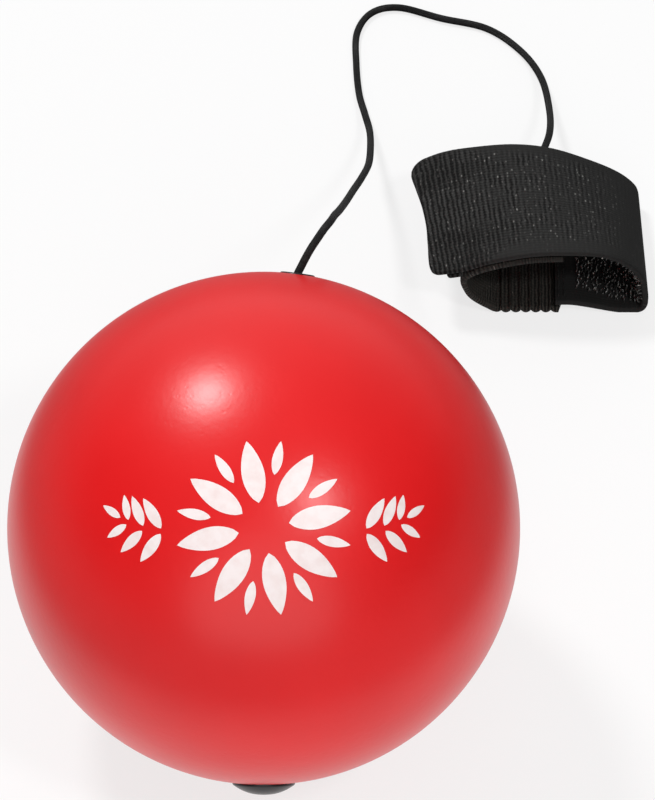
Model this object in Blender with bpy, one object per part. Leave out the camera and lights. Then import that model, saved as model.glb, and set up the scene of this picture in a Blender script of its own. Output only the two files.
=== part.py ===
"""A squeeze ball on an elastic cord, with a hook-and-loop strap, lying as someone puts it down.

Metres, +Z up. The origin is where the ball rests on the table. The cord's bore leans back from the
viewer, so the end cap shows low on the near side and the cord leaves high on the far side.
"""

import math

import bmesh
import bpy
from mathutils import Matrix, Vector

# ball
BALL_DIAMETER = 0.0635
REST_SINK = 0.0004
BORE_DIAMETER = 0.0026
BORE_OFFSET = 0.0021
BORE_RISE_DEG = 40.0
BORE_LEAN_DEG = 3.8
CLEARANCE = 0.0003

# cord and its knots
CORD_DIAMETER = 0.0010
CORD_SHOWS = 0.0006
KNOT_TURNS = 3
KNOT_TURN_GAP = 0.00006
KNOT_CORE_RATIO = 1.4
CORD_PLAY = 0.00036

# eyelet in the top of the ball
EYELET_PLAY = 0.0004
EYELET_WALL = 0.0007
EYELET_LIP = 0.0006
EYELET_LIP_THICKNESS = 0.0007
EYELET_LENGTH = 0.0060
EYELET_PROUD = 0.00015
EYELET_EDGE = 0.0002

# cap, and the washer behind it
CAP_DIAMETER = 0.0076
CAP_DOME_HEIGHT = 0.0016
CAP_RIM_DEPTH = 0.0006
CAP_LIP = 0.0009
CAP_PLUG_LENGTH = 0.0040
CAP_PLUG_WALL = 0.0008
WASHER_THICKNESS = 0.0008

# strap
STRAP_WIDTH = 0.0200
STRAP_THICKNESS = 0.0009
STRAP_X = 0.0380
STRAP_Y = 0.0725
STRAP_SKEW = 0.0004
CLOSED_GAP = 0.00035
TAB_NEAR_CORNER = 0.0013
TAB_FAR_CORNER = 0.0034
RIB_PITCH = 0.00137
RIB_HEIGHT = 0.00035
RIB_COUNT = 6
RIB_START = 0.0036
PATCH_LENGTH = 0.0026
PATCH_THICKNESS = 0.0005
PATCH_MARGIN = 0.0012
BUSH_PLAY = 0.00042
BUSH_WALL = 0.0004
BUSH_FLANGE_LIP = 0.0006
BUSH_FLANGE_THICKNESS = 0.0004
BUSH_FROM_EDGE = 0.0046
BUSH_BEND = 0.0020
HINGE_GAP = 0.0004

# outline of the hook tape's outer face at its near and far edges, from the tab's end over the top,
# down the right-hand turn and back along the table: distance right of the strap's middle, height
TAB_NEAR = [(-0.0156, 0.0090), (-0.0118, 0.0095), (-0.0080, 0.0108), (-0.0027, 0.0122),
            (0.0020, 0.01255), (0.0072, 0.0122)]
TAB_FAR = [(-0.0184, 0.0068), (-0.0146, 0.0099), (-0.0104, 0.0114), (-0.0047, 0.0126),
           (0.0006, 0.0120), (0.0060, 0.0096)]
BAND_NEAR = [(0.0106, 0.0105), (0.0130, 0.0075), (0.0137, 0.0040), (0.0137, 0.0012),
             (0.0126, 0.0), (0.0100, 0.0)]
BAND_FAR = [(0.0102, 0.0065), (0.0130, 0.0036), (0.0139, 0.0022), (0.0138, 0.0010),
            (0.0128, 0.0), (0.0100, 0.0)]
LAP_START = 0.0058
LAP_LENGTH = 0.0040
LAP_RAMP = 0.75

# outline of the elastic's outer face from its left end on the table up to the tab
TURN_NEAR = [(-0.0062, 0.0), (-0.0080, 0.0010), (-0.0102, 0.0033), (-0.0116, 0.0054),
             (-0.0118, 0.0070), (-0.0105, 0.0083)]
TURN_FAR = [(-0.0062, 0.0), (-0.0082, 0.0012), (-0.0104, 0.0034), (-0.0115, 0.0052),
            (-0.0116, 0.0066), (-0.0107, 0.0077)]

# where the elastic lies under the tab, counted in points of the tab's outline
ELASTIC_UNDER_TAB_NEAR = (2.0, 3.0, 4.0)
ELASTIC_UNDER_TAB_FAR = (2.0, 3.0, 4.5)

# how the free cord lies: through the air, then on the table, up to the strap's far edge
CORD_ROUTE = [
    (0.00460, 0.02572, 0.05290), (0.00525, 0.02662, 0.05352), (0.00615, 0.02785, 0.05394),
    (0.00705, 0.02960, 0.05380), (0.00790, 0.03230, 0.05225), (0.00860, 0.03740, 0.04775),
    (0.00912, 0.04400, 0.04125), (0.00962, 0.05120, 0.03425), (0.01025, 0.05880, 0.02715),
    (0.01120, 0.06680, 0.02035), (0.01235, 0.07400, 0.01480), (0.01348, 0.08100, 0.01005),
    (0.01388, 0.08760, 0.00615), (0.01384, 0.09360, 0.00325), (0.01320, 0.09860, 0.00150),
    (0.01240, 0.10340, 0.00062), (0.01202, 0.10930, 0.00050), (0.01215, 0.11560, 0.00050),
    (0.01430, 0.11970, 0.00050), (0.01830, 0.12075, 0.00050), (0.02430, 0.11860, 0.00050),
    (0.03080, 0.11670, 0.00050), (0.03540, 0.11200, 0.00060), (0.03820, 0.10590, 0.00150),
    (0.03900, 0.09720, 0.00430), (0.03850, 0.08890, 0.00800),
]
CORD_STEPS = 3

# how finely round and curved pieces are divided
ROUND_STEPS = 40
DOME_STEPS = 8
KNOT_STEPS = 16
BALL_LEVELS = 4
SPAN_STEPS = 8
RIB_STEPS = 20
TURN_STEPS = 6
ENTRY_STEPS = 3
SMOOTH_ANGLE_DEG = 35.0

# sizes that follow from those above
BALL_RADIUS = BALL_DIAMETER / 2
BALL_CENTRE = Vector((0.0, 0.0, BALL_RADIUS - REST_SINK))
HALF_BORE = math.sqrt(BALL_RADIUS**2 - BORE_OFFSET**2)
CORD_RADIUS = CORD_DIAMETER / 2
KNOT_PITCH = CORD_DIAMETER + KNOT_TURN_GAP
KNOT_CORE = CORD_RADIUS * KNOT_CORE_RATIO
KNOT_LENGTH = KNOT_TURNS * KNOT_PITCH + CORD_DIAMETER
EYELET_HOLE = CORD_RADIUS + EYELET_PLAY
EYELET_BARREL = EYELET_HOLE + EYELET_WALL
EYELET_FLANGE = EYELET_BARREL + EYELET_LIP
EYELET_TOP = HALF_BORE + EYELET_PROUD
CAP_RIM = CAP_DIAMETER / 2
CAP_PLUG = CAP_RIM - CAP_LIP
CAP_FLOOR = -HALF_BORE + CAP_RIM_DEPTH
KNOT_ROOM = max(CAP_PLUG_LENGTH, KNOT_LENGTH + CLEARANCE)
WASHER_SHOULDER = CAP_FLOOR + KNOT_ROOM + WASHER_THICKNESS + 3 * CLEARANCE
BUSH_HOLE = CORD_RADIUS + BUSH_PLAY
BUSH_BARREL = BUSH_HOLE + BUSH_WALL
BUSH_FLANGE = BUSH_BARREL + BUSH_FLANGE_LIP
BUSH_FLANGE_TOP = -STRAP_THICKNESS - CLEARANCE
BUSH_FLOOR = BUSH_FLANGE_TOP - BUSH_FLANGE_THICKNESS
BUSH_SIDE = 1.0 - BUSH_FROM_EDGE / STRAP_WIDTH
CORD_LIFT = CORD_RADIUS + CORD_PLAY
CLOSED_GAP_AT_CORD = CLOSED_GAP + (2 * CORD_LIFT - CLOSED_GAP) / BUSH_SIDE


def bore_frame():
    """Axes of the bore: Z runs from the cap to the eyelet, X along the bore's offset."""
    rise = math.radians(BORE_RISE_DEG)
    lean = math.radians(BORE_LEAN_DEG)
    up = Vector((0.0, math.cos(rise), math.sin(rise)))
    right = Vector((1.0, 0.0, 0.0))
    along = up * math.cos(lean) + right * math.sin(lean)
    across = right * math.cos(lean) - up * math.sin(lean)
    turn = Matrix((across, along.cross(across), along)).transposed()
    return Matrix.Translation(BALL_CENTRE + across * BORE_OFFSET) @ turn.to_4x4()


def to_linear(code):
    """An sRGB colour code as linear RGBA."""
    channels = [int(code[i : i + 2], 16) / 255 for i in (1, 3, 5)]
    linear = [c / 12.92 if c <= 0.04045 else ((c + 0.055) / 1.055) ** 2.4 for c in channels]
    return (*linear, 1.0)


def material(name, code, roughness, metallic=0.0):
    made = bpy.data.materials.new(name)
    made.use_nodes = True
    shader = made.node_tree.nodes["Principled BSDF"]
    shader.inputs["Base Color"].default_value = to_linear(code)
    shader.inputs["Roughness"].default_value = roughness
    shader.inputs["Metallic"].default_value = metallic
    return made


def add_object(name, data, look=None):
    obj = bpy.data.objects.new(name, data)
    bpy.context.scene.collection.objects.link(obj)
    if look:
        data.materials.append(look)
    return obj


def finish_mesh(name, bm, look=None):
    """Turn a bmesh into an object with its faces pointing out."""
    bmesh.ops.remove_doubles(bm, verts=bm.verts, dist=1e-7)
    bmesh.ops.recalc_face_normals(bm, faces=bm.faces)
    mesh = bpy.data.meshes.new(name)
    bm.to_mesh(mesh)
    bm.free()
    mesh.shade_smooth()
    mesh.set_sharp_from_angle(angle=math.radians(SMOOTH_ANGLE_DEG))
    return add_object(name, mesh, look)


def turned(name, profile, look=None):
    """Spin a profile of (radius, height) points about the local Z axis."""
    bm = bmesh.new()
    points = [bm.verts.new((radius, 0.0, height)) for radius, height in profile]
    closed = profile[0][0] > 0
    pairs = list(zip(points, points[1:])) + ([(points[-1], points[0])] if closed else [])
    edges = [bm.edges.new(pair) for pair in pairs]
    bmesh.ops.spin(bm, geom=points + edges, cent=(0, 0, 0), axis=(0, 0, 1),
                   angle=math.tau, steps=ROUND_STEPS, use_merge=True)
    return finish_mesh(name, bm, look)


def cut(obj, cutter, how="DIFFERENCE"):
    """Cut one object by another, which then only guides."""
    change = obj.modifiers.new(cutter.name, "BOOLEAN")
    change.operation = how
    change.solver = "EXACT"
    change.object = cutter
    cutter.hide_render = True
    cutter.display_type = "WIRE"


def move_origin(obj, point):
    """Put an object's origin at a point without moving its shape."""
    obj.data.transform(Matrix.Translation(-Vector(point)))
    obj.location = point


def smooth(points, steps):
    """A smooth curve through the points. steps is how many samples a span gets, or a list by span."""
    points = [Vector(p) for p in points]
    counts = steps if isinstance(steps, list) else [steps] * (len(points) - 1)
    ends = [2 * points[0] - points[1], *points, 2 * points[-1] - points[-2]]
    curve = []
    for a, b, c, d, count in zip(ends, ends[1:], ends[2:], ends[3:], counts):
        for i in range(count):
            t = i / count
            bend = (b * 2, c - a, a * 2 - b * 5 + c * 4 - d, b * 3 - a - c * 3 + d)
            curve.append(sum((term * t**n for n, term in enumerate(bend)), Vector(b) * 0) / 2)
    return curve + [points[-1]]


def outward(curve, i):
    """The loop's outward direction at a sample of an outline."""
    run = curve[min(i + 1, len(curve) - 1)] - curve[max(i - 1, 0)]
    return Vector((-run[1], run[0])).normalized()


def inset(curve, depth):
    """An outline moved into the loop by a depth."""
    return [Vector(p) - outward(curve, i) * depth for i, p in enumerate(curve)]


def settle(curve):
    """Lift what dips under the table back onto it."""
    return [Vector((p[0], max(p[1], 0.0))) for p in curve]


def lengths(curve):
    """Distance along a curve at each of its samples."""
    run = [0.0]
    for a, b in zip(curve, curve[1:]):
        run.append(run[-1] + (b - a).length)
    return run


def strap_point(flat, side):
    """World point for an outline point at the near (0) or far (1) edge, or between."""
    off = side - 0.5
    return Vector((STRAP_X + off * STRAP_SKEW + flat[0], STRAP_Y + off * STRAP_WIDTH, flat[1]))


def corner(run, radius):
    """How far an edge is drawn in along a strip whose end corner is rounded."""
    left = [max(radius - along, 0.0) for along in run]
    return [radius - math.sqrt(radius**2 - short**2) for short in left]


def tape(name, near, far, look, thickness, margins=None, wave=None):
    """A strip of webbing between its near and far outlines, thick towards the loop's inside.

    margins draws each edge in, as a list for the near one and a list for the far one. wave moves
    both faces into the loop.
    """
    bm = bmesh.new()
    flush = [0.0] * len(near)
    near_margin, far_margin = margins or (flush, flush)
    rings = []
    for i in range(len(near)):
        shift = wave[i] if wave else 0.0
        ring = []
        for depth in (shift, shift + thickness):
            a = strap_point(near[i] - outward(near, i) * depth, 0)
            b = strap_point(far[i] - outward(far, i) * depth, 1)
            inwards = (b - a).normalized()
            ring.append((a + inwards * near_margin[i], b - inwards * far_margin[i]))
        (near_out, far_out), (near_in, far_in) = ring
        rings.append([bm.verts.new(p) for p in (near_out, far_out, far_in, near_in)])
    for one, two in zip(rings, rings[1:]):
        for j in range(4):
            k = (j + 1) % 4
            bm.faces.new((one[j], one[k], two[k], two[j]))
    bm.faces.new(rings[0])
    bm.faces.new(reversed(rings[-1]))
    return finish_mesh(name, bm, look)


def knot(name, look):
    """A stopper knot: turns of cord round a core, with its top at the local origin."""
    coil = bpy.data.curves.new(name + "_coil", "CURVE")
    coil.dimensions = "3D"
    coil.bevel_depth = CORD_RADIUS
    coil.bevel_resolution = 1
    coil.use_fill_caps = True
    spline = coil.splines.new("POLY")
    spline.points.add(KNOT_TURNS * KNOT_STEPS)
    reach = KNOT_CORE + CORD_RADIUS / 2
    for i, point in enumerate(spline.points):
        angle = math.tau * i / KNOT_STEPS
        height = -CORD_RADIUS - KNOT_PITCH * i / KNOT_STEPS
        point.co = (reach * math.cos(angle), reach * math.sin(angle), height, 1.0)
    guide = add_object(name + "_guide", coil)
    turns = add_object(name + "_turns", bpy.data.meshes.new_from_object(guide))
    bpy.data.objects.remove(guide, do_unlink=True)
    body = turned(name, [
        (0.0, 0.0), (KNOT_CORE, 0.0), (KNOT_CORE, -KNOT_LENGTH), (0.0, -KNOT_LENGTH)], look)
    cut(body, turns, "UNION")
    return body, turns


def make_ball(axis, look):
    """The foam ball, bored for the cord, with a seat for the eyelet and one for the cap."""
    bpy.ops.mesh.primitive_cube_add(size=BALL_DIAMETER, location=BALL_CENTRE)
    ball = bpy.context.object
    ball.name = ball.data.name = "foam_ball"
    ball.data.materials.append(look)
    ball.data.shade_smooth()
    divide = ball.modifiers.new("divide", "SUBSURF")
    divide.subdivision_type = "SIMPLE"
    divide.levels = divide.render_levels = BALL_LEVELS
    rounding = ball.modifiers.new("round", "CAST")
    rounding.factor = 1.0
    rounding.use_radius_as_size = False
    rounding.radius = 0.0
    rounding.size = BALL_RADIUS

    past = BALL_DIAMETER
    flange = EYELET_FLANGE + CLEARANCE
    flange_seat = EYELET_TOP - EYELET_LIP_THICKNESS - CLEARANCE
    barrel = EYELET_BARREL + CLEARANCE
    barrel_end = EYELET_TOP - EYELET_LENGTH - CLEARANCE
    bore = BORE_DIAMETER / 2
    plug = CAP_PLUG + CLEARANCE
    rim = CAP_RIM + CLEARANCE
    rim_seat = CAP_FLOOR + CLEARANCE
    cutter = turned("ball_bore", [
        (0.0, past), (flange, past), (flange, flange_seat), (barrel, flange_seat),
        (barrel, barrel_end), (bore, barrel_end), (bore, WASHER_SHOULDER), (plug, WASHER_SHOULDER),
        (plug, rim_seat), (rim, rim_seat), (rim, -past), (0.0, -past)])
    cutter.parent = axis
    cut(ball, cutter)
    bpy.ops.mesh.primitive_cube_add(size=BALL_DIAMETER, location=(0, 0, -BALL_RADIUS))
    table = bpy.context.object
    table.name = "table_plane"
    cut(ball, table)


def make_eyelet(axis, look):
    """The flanged eyelet that the cord comes out of."""
    eyelet = turned("top_eyelet", [
        (EYELET_HOLE + EYELET_EDGE, 0.0), (EYELET_FLANGE - EYELET_EDGE, 0.0), (EYELET_FLANGE, -EYELET_EDGE),
        (EYELET_FLANGE, -EYELET_LIP_THICKNESS), (EYELET_BARREL, -EYELET_LIP_THICKNESS),
        (EYELET_BARREL, -EYELET_LENGTH), (EYELET_HOLE, -EYELET_LENGTH), (EYELET_HOLE, -EYELET_EDGE)], look)
    eyelet.parent = axis
    eyelet.location = (0.0, 0.0, EYELET_TOP)


def make_cap(axis, look):
    """The domed cap, with a hollow plug that goes into the ball."""
    dome_radius = (CAP_RIM**2 + CAP_DOME_HEIGHT**2) / (2 * CAP_DOME_HEIGHT)
    half_angle = math.asin(CAP_RIM / dome_radius)
    profile = []
    for i in range(DOME_STEPS + 1):
        angle = half_angle * i / DOME_STEPS
        drop = dome_radius * math.cos(angle) - dome_radius + CAP_DOME_HEIGHT
        profile.append((dome_radius * math.sin(angle), -drop))
    inside = CAP_PLUG - CAP_PLUG_WALL
    plug_end = CAP_RIM_DEPTH + CAP_PLUG_LENGTH
    profile += [(CAP_RIM, CAP_RIM_DEPTH), (CAP_PLUG, CAP_RIM_DEPTH), (CAP_PLUG, plug_end),
                (inside, plug_end), (inside, CAP_RIM_DEPTH), (0.0, CAP_RIM_DEPTH)]
    cap = turned("end_cap", profile, look)
    cap.parent = axis
    cap.location = (0.0, 0.0, -HALF_BORE)


def make_anchor(axis, steel, cord):
    """The washer, the knot that pulls on it, and the cord's stretch inside the ball."""
    washer_upper = WASHER_SHOULDER - CLEARANCE
    washer_lower = washer_upper - WASHER_THICKNESS
    hole = CORD_RADIUS + CLEARANCE
    washer = turned("anchor_washer", [
        (hole, 0.0), (CAP_PLUG, 0.0), (CAP_PLUG, -WASHER_THICKNESS), (hole, -WASHER_THICKNESS)], steel)
    washer.parent = axis
    washer.location = (0.0, 0.0, washer_upper)
    for piece in knot("anchor_knot", cord):
        piece.parent = axis
        piece.location = (0.0, 0.0, washer_lower - CLEARANCE)
    shows = EYELET_TOP + CORD_SHOWS
    hidden = turned("bore_cord", [
        (0.0, shows), (CORD_RADIUS, shows), (CORD_RADIUS, washer_lower), (0.0, washer_lower)], cord)
    hidden.parent = axis


def strap_outlines():
    """Near and far outlines of the hook tape and of the elastic, sampled along their length."""
    lap_height = STRAP_THICKNESS + RIB_HEIGHT + CLEARANCE
    lap = [(LAP_START, lap_height * LAP_RAMP), (LAP_START - LAP_LENGTH / 2, lap_height),
           (LAP_START - LAP_LENGTH, lap_height)]
    hook_near = settle(smooth(TAB_NEAR + BAND_NEAR + lap, SPAN_STEPS))
    hook_far = settle(smooth(TAB_FAR + BAND_FAR + lap, SPAN_STEPS))
    start = LAP_START - CLEARANCE
    under = [(start, 0.0), ((start + TURN_NEAR[0][0]) / 2, 0.0)]
    below_near = inset(hook_near, STRAP_THICKNESS + CLOSED_GAP)
    below_far = inset(hook_far, STRAP_THICKNESS + CLOSED_GAP_AT_CORD)
    top_near = [below_near[round(place * SPAN_STEPS)] for place in ELASTIC_UNDER_TAB_NEAR]
    top_far = [below_far[round(place * SPAN_STEPS)] for place in ELASTIC_UNDER_TAB_FAR]
    steps = [RIB_STEPS] * len(under) + [TURN_STEPS] * (len(TURN_NEAR) + len(top_near) - 1)
    elastic_near = settle(smooth(under + TURN_NEAR + top_near, steps))
    elastic_far = settle(smooth(under + TURN_FAR + top_far, steps))
    return hook_near, hook_far, elastic_near, elastic_far


def make_hook_tape(near, far, webbing, hooks):
    """The tab with its rounded end and hook patch, and the band that it opens from."""
    split = (len(TAB_NEAR) - 1) * SPAN_STEPS
    tab_near, tab_far = near[: split + 1], far[: split + 1]
    run = lengths(tab_near)
    margins = corner(run, TAB_NEAR_CORNER), corner(run, TAB_FAR_CORNER)
    hinge = (strap_point(near[split], 0) + strap_point(far[split], 1)) / 2
    tab = tape("strap_tab", tab_near, tab_far, webbing, STRAP_THICKNESS, margins)
    move_origin(tab, hinge)

    covered = [i for i, along in enumerate(run) if PATCH_MARGIN <= along <= PATCH_MARGIN + PATCH_LENGTH]
    first, last = covered[0], covered[-1] + 1
    under = STRAP_THICKNESS + CLEARANCE
    patch_near = inset(tab_near, under)[first:last]
    patch_far = inset(tab_far, under)[first:last]
    sides = [PATCH_MARGIN] * len(covered)
    patch = tape("hook_patch", patch_near, patch_far, hooks, PATCH_THICKNESS, (sides, sides))
    move_origin(patch, hinge)

    band_near, band_far = list(near[split:]), list(far[split:])
    for edge in (band_near, band_far):
        edge[0] = edge[0] + (edge[1] - edge[0]).normalized() * HINGE_GAP
    band = tape("strap_band", band_near, band_far, webbing, STRAP_THICKNESS)
    move_origin(band, (STRAP_X, STRAP_Y, 0.0))


def make_elastic(near, far, elastic, black, cord):
    """The ribbed elastic, and the bush and knot that hold the cord to it."""
    wave = []
    for along in lengths(near):
        rib = (along - RIB_START) / RIB_PITCH
        wave.append(RIB_HEIGHT * (1 - math.cos(math.tau * rib)) / 2 if 0 < rib < RIB_COUNT else 0.0)
    panel = tape("elastic_panel", near, far, elastic, STRAP_THICKNESS, wave=wave)
    move_origin(panel, (STRAP_X, STRAP_Y, 0.0))

    place = bush_frame(near, far)
    bush = turned("strap_eyelet", [
        (BUSH_HOLE, 0.0), (BUSH_BARREL, 0.0), (BUSH_BARREL, BUSH_FLANGE_TOP),
        (BUSH_FLANGE, BUSH_FLANGE_TOP), (BUSH_FLANGE, BUSH_FLOOR), (BUSH_HOLE, BUSH_FLOOR)], black)
    bush.matrix_world = place
    hole = BUSH_BARREL + CLEARANCE
    past = 2 * STRAP_THICKNESS
    punch = turned("panel_hole", [(0.0, past), (hole, past), (hole, -past), (0.0, -past)])
    # half a step round, so that no corner of the hole falls on a row of the strip's points
    punch.matrix_world = place @ Matrix.Rotation(math.pi / ROUND_STEPS, 4, "Z")
    cut(panel, punch)
    for piece in knot("strap_knot", cord):
        piece.matrix_world = place @ Matrix.Translation((0.0, 0.0, BUSH_FLOOR - CLEARANCE))
    return place


def bush_frame(near, far):
    """Where the cord goes through the elastic: on its outer face, Z square to it."""
    i = len(near) - 1 - TURN_STEPS // 2
    a = strap_point(near[i], 0)
    b = strap_point(far[i], 1)
    across = (b - a).normalized()
    flat = outward(near, i).lerp(outward(far, i), BUSH_SIDE)
    up = Vector((flat[0], 0.0, flat[1]))
    up = (up - across * up.dot(across)).normalized()
    turn = Matrix((across.cross(up), across, up)).transposed()
    return Matrix.Translation(a.lerp(b, BUSH_SIDE)) @ turn.to_4x4()


def cord_entry(bush):
    """The cord over the elastic from the strap's far edge, and its bend down through the bush."""
    route = [(BUSH_FROM_EDGE, CORD_LIFT)]
    for i in range(ENTRY_STEPS + 1):
        angle = math.pi / 2 * i / ENTRY_STEPS
        drop = BUSH_BEND * (1 - math.cos(angle))
        route.append((BUSH_BEND * (1 - math.sin(angle)), CORD_LIFT - drop))
    route.append((0.0, BUSH_FLOOR))
    return [bush @ Vector((0.0, away, height)) for away, height in route]


def make_free_cord(axis_frame, bush, look):
    """The cord from the ball to the strap, as it lies."""
    leave = axis_frame @ Vector((0, 0, EYELET_TOP + CORD_SHOWS + CLEARANCE))
    points = smooth([leave, *CORD_ROUTE, *cord_entry(bush)], CORD_STEPS)
    for point in points:
        point.z = max(point.z, CORD_RADIUS)
    line = bpy.data.curves.new("free_cord", "CURVE")
    line.dimensions = "3D"
    line.bevel_depth = CORD_RADIUS
    line.bevel_resolution = 2
    line.use_fill_caps = True
    spline = line.splines.new("POLY")
    spline.points.add(len(points) - 1)
    for point, place in zip(spline.points, points):
        point.co = (*(place - points[0]), 1.0)
    cord = add_object("free_cord", line, look)
    cord.location = points[0]
    print("free cord length", round(lengths(points)[-1], 4), "points", len(points))


def main():
    for obj in list(bpy.data.objects):
        bpy.data.objects.remove(obj, do_unlink=True)
    red = material("red_foam_skin", "#e0292b", 0.3)
    black = material("black_plastic", "#2a2828", 0.35)
    steel = material("washer_steel", "#a9a9a6", 0.35, 1.0)
    cord = material("black_elastic_cord", "#2e2e2e", 0.7)
    webbing = material("black_webbing", "#2b2b2a", 0.8)
    elastic = material("black_elastic", "#2d2c2b", 0.8)
    hooks = material("black_hook_tape", "#2a2a29", 0.5)

    axis = add_object("bore_axis", None)
    axis.matrix_world = bore_frame()
    make_ball(axis, red)
    make_eyelet(axis, black)
    make_cap(axis, black)
    make_anchor(axis, steel, cord)
    hook_near, hook_far, elastic_near, elastic_far = strap_outlines()
    make_hook_tape(hook_near, hook_far, webbing, hooks)
    bush = make_elastic(elastic_near, elastic_far, elastic, black, cord)
    make_free_cord(bore_frame(), bush, cord)


main()
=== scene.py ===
# %% [markdown]
# # A squeeze ball on an elastic cord
# A foam ball has a thin elastic cord out of its top and a small hook-and-loop strap on the cord's
# far end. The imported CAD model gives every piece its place. Here each piece gets the surface that
# the real one has: a painted foam skin, a braided cord, woven and ribbed tapes.

# %% Load the frame
import math
import random

import bpy
from mathutils import Matrix, Vector


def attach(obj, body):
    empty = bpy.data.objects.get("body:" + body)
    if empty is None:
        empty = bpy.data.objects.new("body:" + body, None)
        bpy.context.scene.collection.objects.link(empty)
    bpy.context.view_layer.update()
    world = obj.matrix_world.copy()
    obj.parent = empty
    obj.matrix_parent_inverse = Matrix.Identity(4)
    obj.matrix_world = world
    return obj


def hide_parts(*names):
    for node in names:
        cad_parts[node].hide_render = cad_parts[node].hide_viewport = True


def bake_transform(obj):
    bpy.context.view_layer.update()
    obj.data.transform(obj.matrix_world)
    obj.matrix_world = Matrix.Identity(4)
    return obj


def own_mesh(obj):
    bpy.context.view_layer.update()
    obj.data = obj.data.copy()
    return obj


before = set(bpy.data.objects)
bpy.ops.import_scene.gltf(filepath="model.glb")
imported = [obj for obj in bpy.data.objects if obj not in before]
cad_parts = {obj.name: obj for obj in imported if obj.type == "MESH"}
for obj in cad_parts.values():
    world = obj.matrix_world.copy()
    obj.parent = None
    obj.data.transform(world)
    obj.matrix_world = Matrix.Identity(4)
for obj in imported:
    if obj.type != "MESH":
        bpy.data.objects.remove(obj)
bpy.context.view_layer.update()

# %% [markdown]
# ## The camera
# The ball's outline and the strap's edges fix the view: some 60 cm away, with a long lens, looking
# down at 50 degrees. A long lens could be copied by moving a short one closer, but then the ball
# would hide more of the cord.

# %% Camera
CAMERA_PLACE, CAMERA_PITCH_DEG = (0.00789, -0.37358, 0.50123), 50.0
LENS_MM, SENSOR_MM, NEAREST = 217.9, 36.0, 0.01


def add_object(name, data):
    """Put a mesh, a curve, a lamp or a camera into the scene."""
    obj = bpy.data.objects.new(name, data)
    bpy.context.scene.collection.objects.link(obj)
    return obj


camera = add_object("camera", bpy.data.cameras.new("camera"))
camera.location = CAMERA_PLACE
camera.rotation_euler = (math.radians(90.0 - CAMERA_PITCH_DEG), 0.0, 0.0)
camera.data.lens = LENS_MM
camera.data.sensor_width = SENSOR_MM
camera.data.clip_start = NEAREST
bpy.context.scene.camera = camera
print("camera", tuple(round(c, 4) for c in camera.location), "lens", LENS_MM, "mm")

# %% [markdown]
# ## Helpers for modelling
# Every piece is made by itself and named, so the same few steps come back: leave nothing selected,
# make one object the active one, apply its modifiers.


# %% Selecting
def pick(obj):
    """Make one object the only selected one."""
    bpy.ops.object.select_all(action="DESELECT")
    obj.select_set(True)
    bpy.context.view_layer.objects.active = obj
    return obj


def new_mesh(name, points, edges=(), faces=()):
    mesh = bpy.data.meshes.new(name)
    mesh.from_pydata([tuple(p) for p in points], list(edges), list(faces))
    return pick(add_object(name, mesh))


def apply_modifiers(obj):
    pick(obj)
    for modifier in list(obj.modifiers):
        bpy.ops.object.modifier_apply(modifier=modifier.name)
    return obj


def soften(obj, angle_deg=40.0):
    """Shade an object smooth, but for edges sharper than an angle."""
    pick(obj)
    bpy.ops.object.shade_smooth_by_angle(angle=math.radians(angle_deg))
    return obj


# %% [markdown]
# The round pieces are all turned: each is a profile that the Spin tool takes once round an axis. A
# cylinder with bevels would need a new set of steps for every step in its outline.


# %% Turning
def turned(name, profile, place, steps=96):
    """Spin a profile of (radius, height) points round the local Z axis, and put the piece in place."""
    points = [(radius, 0.0, height) for radius, height in profile]
    obj = new_mesh(name, points, [(i, i + 1) for i in range(len(points) - 1)])
    bpy.ops.object.mode_set(mode="EDIT")
    bpy.ops.mesh.select_all(action="SELECT")
    bpy.ops.mesh.spin(steps=steps, angle=math.tau, center=(0, 0, 0), axis=(0, 0, 1))
    bpy.ops.mesh.select_all(action="SELECT")
    bpy.ops.mesh.remove_doubles(threshold=1e-6)
    bpy.ops.mesh.normals_make_consistent(inside=False)
    bpy.ops.object.mode_set(mode="OBJECT")
    obj.data.transform(place)
    return soften(obj)


def rounded(corner, before, after, radius, steps=4):
    """Points of a small arc that rounds a profile's corner between its two neighbours."""
    corner, before, after = Vector(corner), Vector(before), Vector(after)
    a = corner + (before - corner).normalized() * radius
    b = corner + (after - corner).normalized() * radius
    shares = [i / steps for i in range(steps + 1)]
    return [tuple(a * (1 - t) ** 2 + corner * 2 * t * (1 - t) + b * t**2) for t in shares]


# %% [markdown]
# ## Helpers for materials
# Colours are written as they look on the screen and turned to the linear values that the shader
# works in. One function adds a node with its settings and its links, so each material reads as a
# list of what it is made from.


# %% Colours, nodes and materials
def to_linear(code):
    channels = [int(code[i : i + 2], 16) / 255 for i in (1, 3, 5)]
    return (*[c / 12.92 if c <= 0.04045 else ((c + 0.055) / 1.055) ** 2.4 for c in channels], 1.0)


def set_inputs(tree, node, inputs):
    """Give each input a value, another node's output, or a node, which stands for its first output."""
    for name, value in inputs.items():
        if isinstance(value, bpy.types.Node):
            value = value.outputs[0]
        if isinstance(value, bpy.types.NodeSocket):
            tree.links.new(value, node.inputs[name])
        else:
            node.inputs[name].default_value = value


def add_node(tree, kind, inputs=None, stops=(), **settings):
    """Add a node with its inputs and its own settings. stops are a colour ramp's places and colours."""
    node = tree.nodes.new("ShaderNode" + kind)
    for name, value in settings.items():
        setattr(node, name, value)
    for i, (place, code) in enumerate(stops):
        node.color_ramp.elements[i].position = place
        node.color_ramp.elements[i].color = to_linear(code)
    set_inputs(tree, node, inputs or {})
    return node


def new_material(name, **sockets):
    """A material with its shader's uniform values set. Returns it with its tree and shader."""
    material = bpy.data.materials.new(name)
    material.use_nodes = True
    tree = material.node_tree
    shader = tree.nodes["Principled BSDF"]
    set_inputs(tree, shader, {socket.replace("_", " "): value for socket, value in sockets.items()})
    return material, tree, shader


def dress(obj, material):
    obj.data.materials.clear()
    obj.data.materials.append(material)


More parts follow.
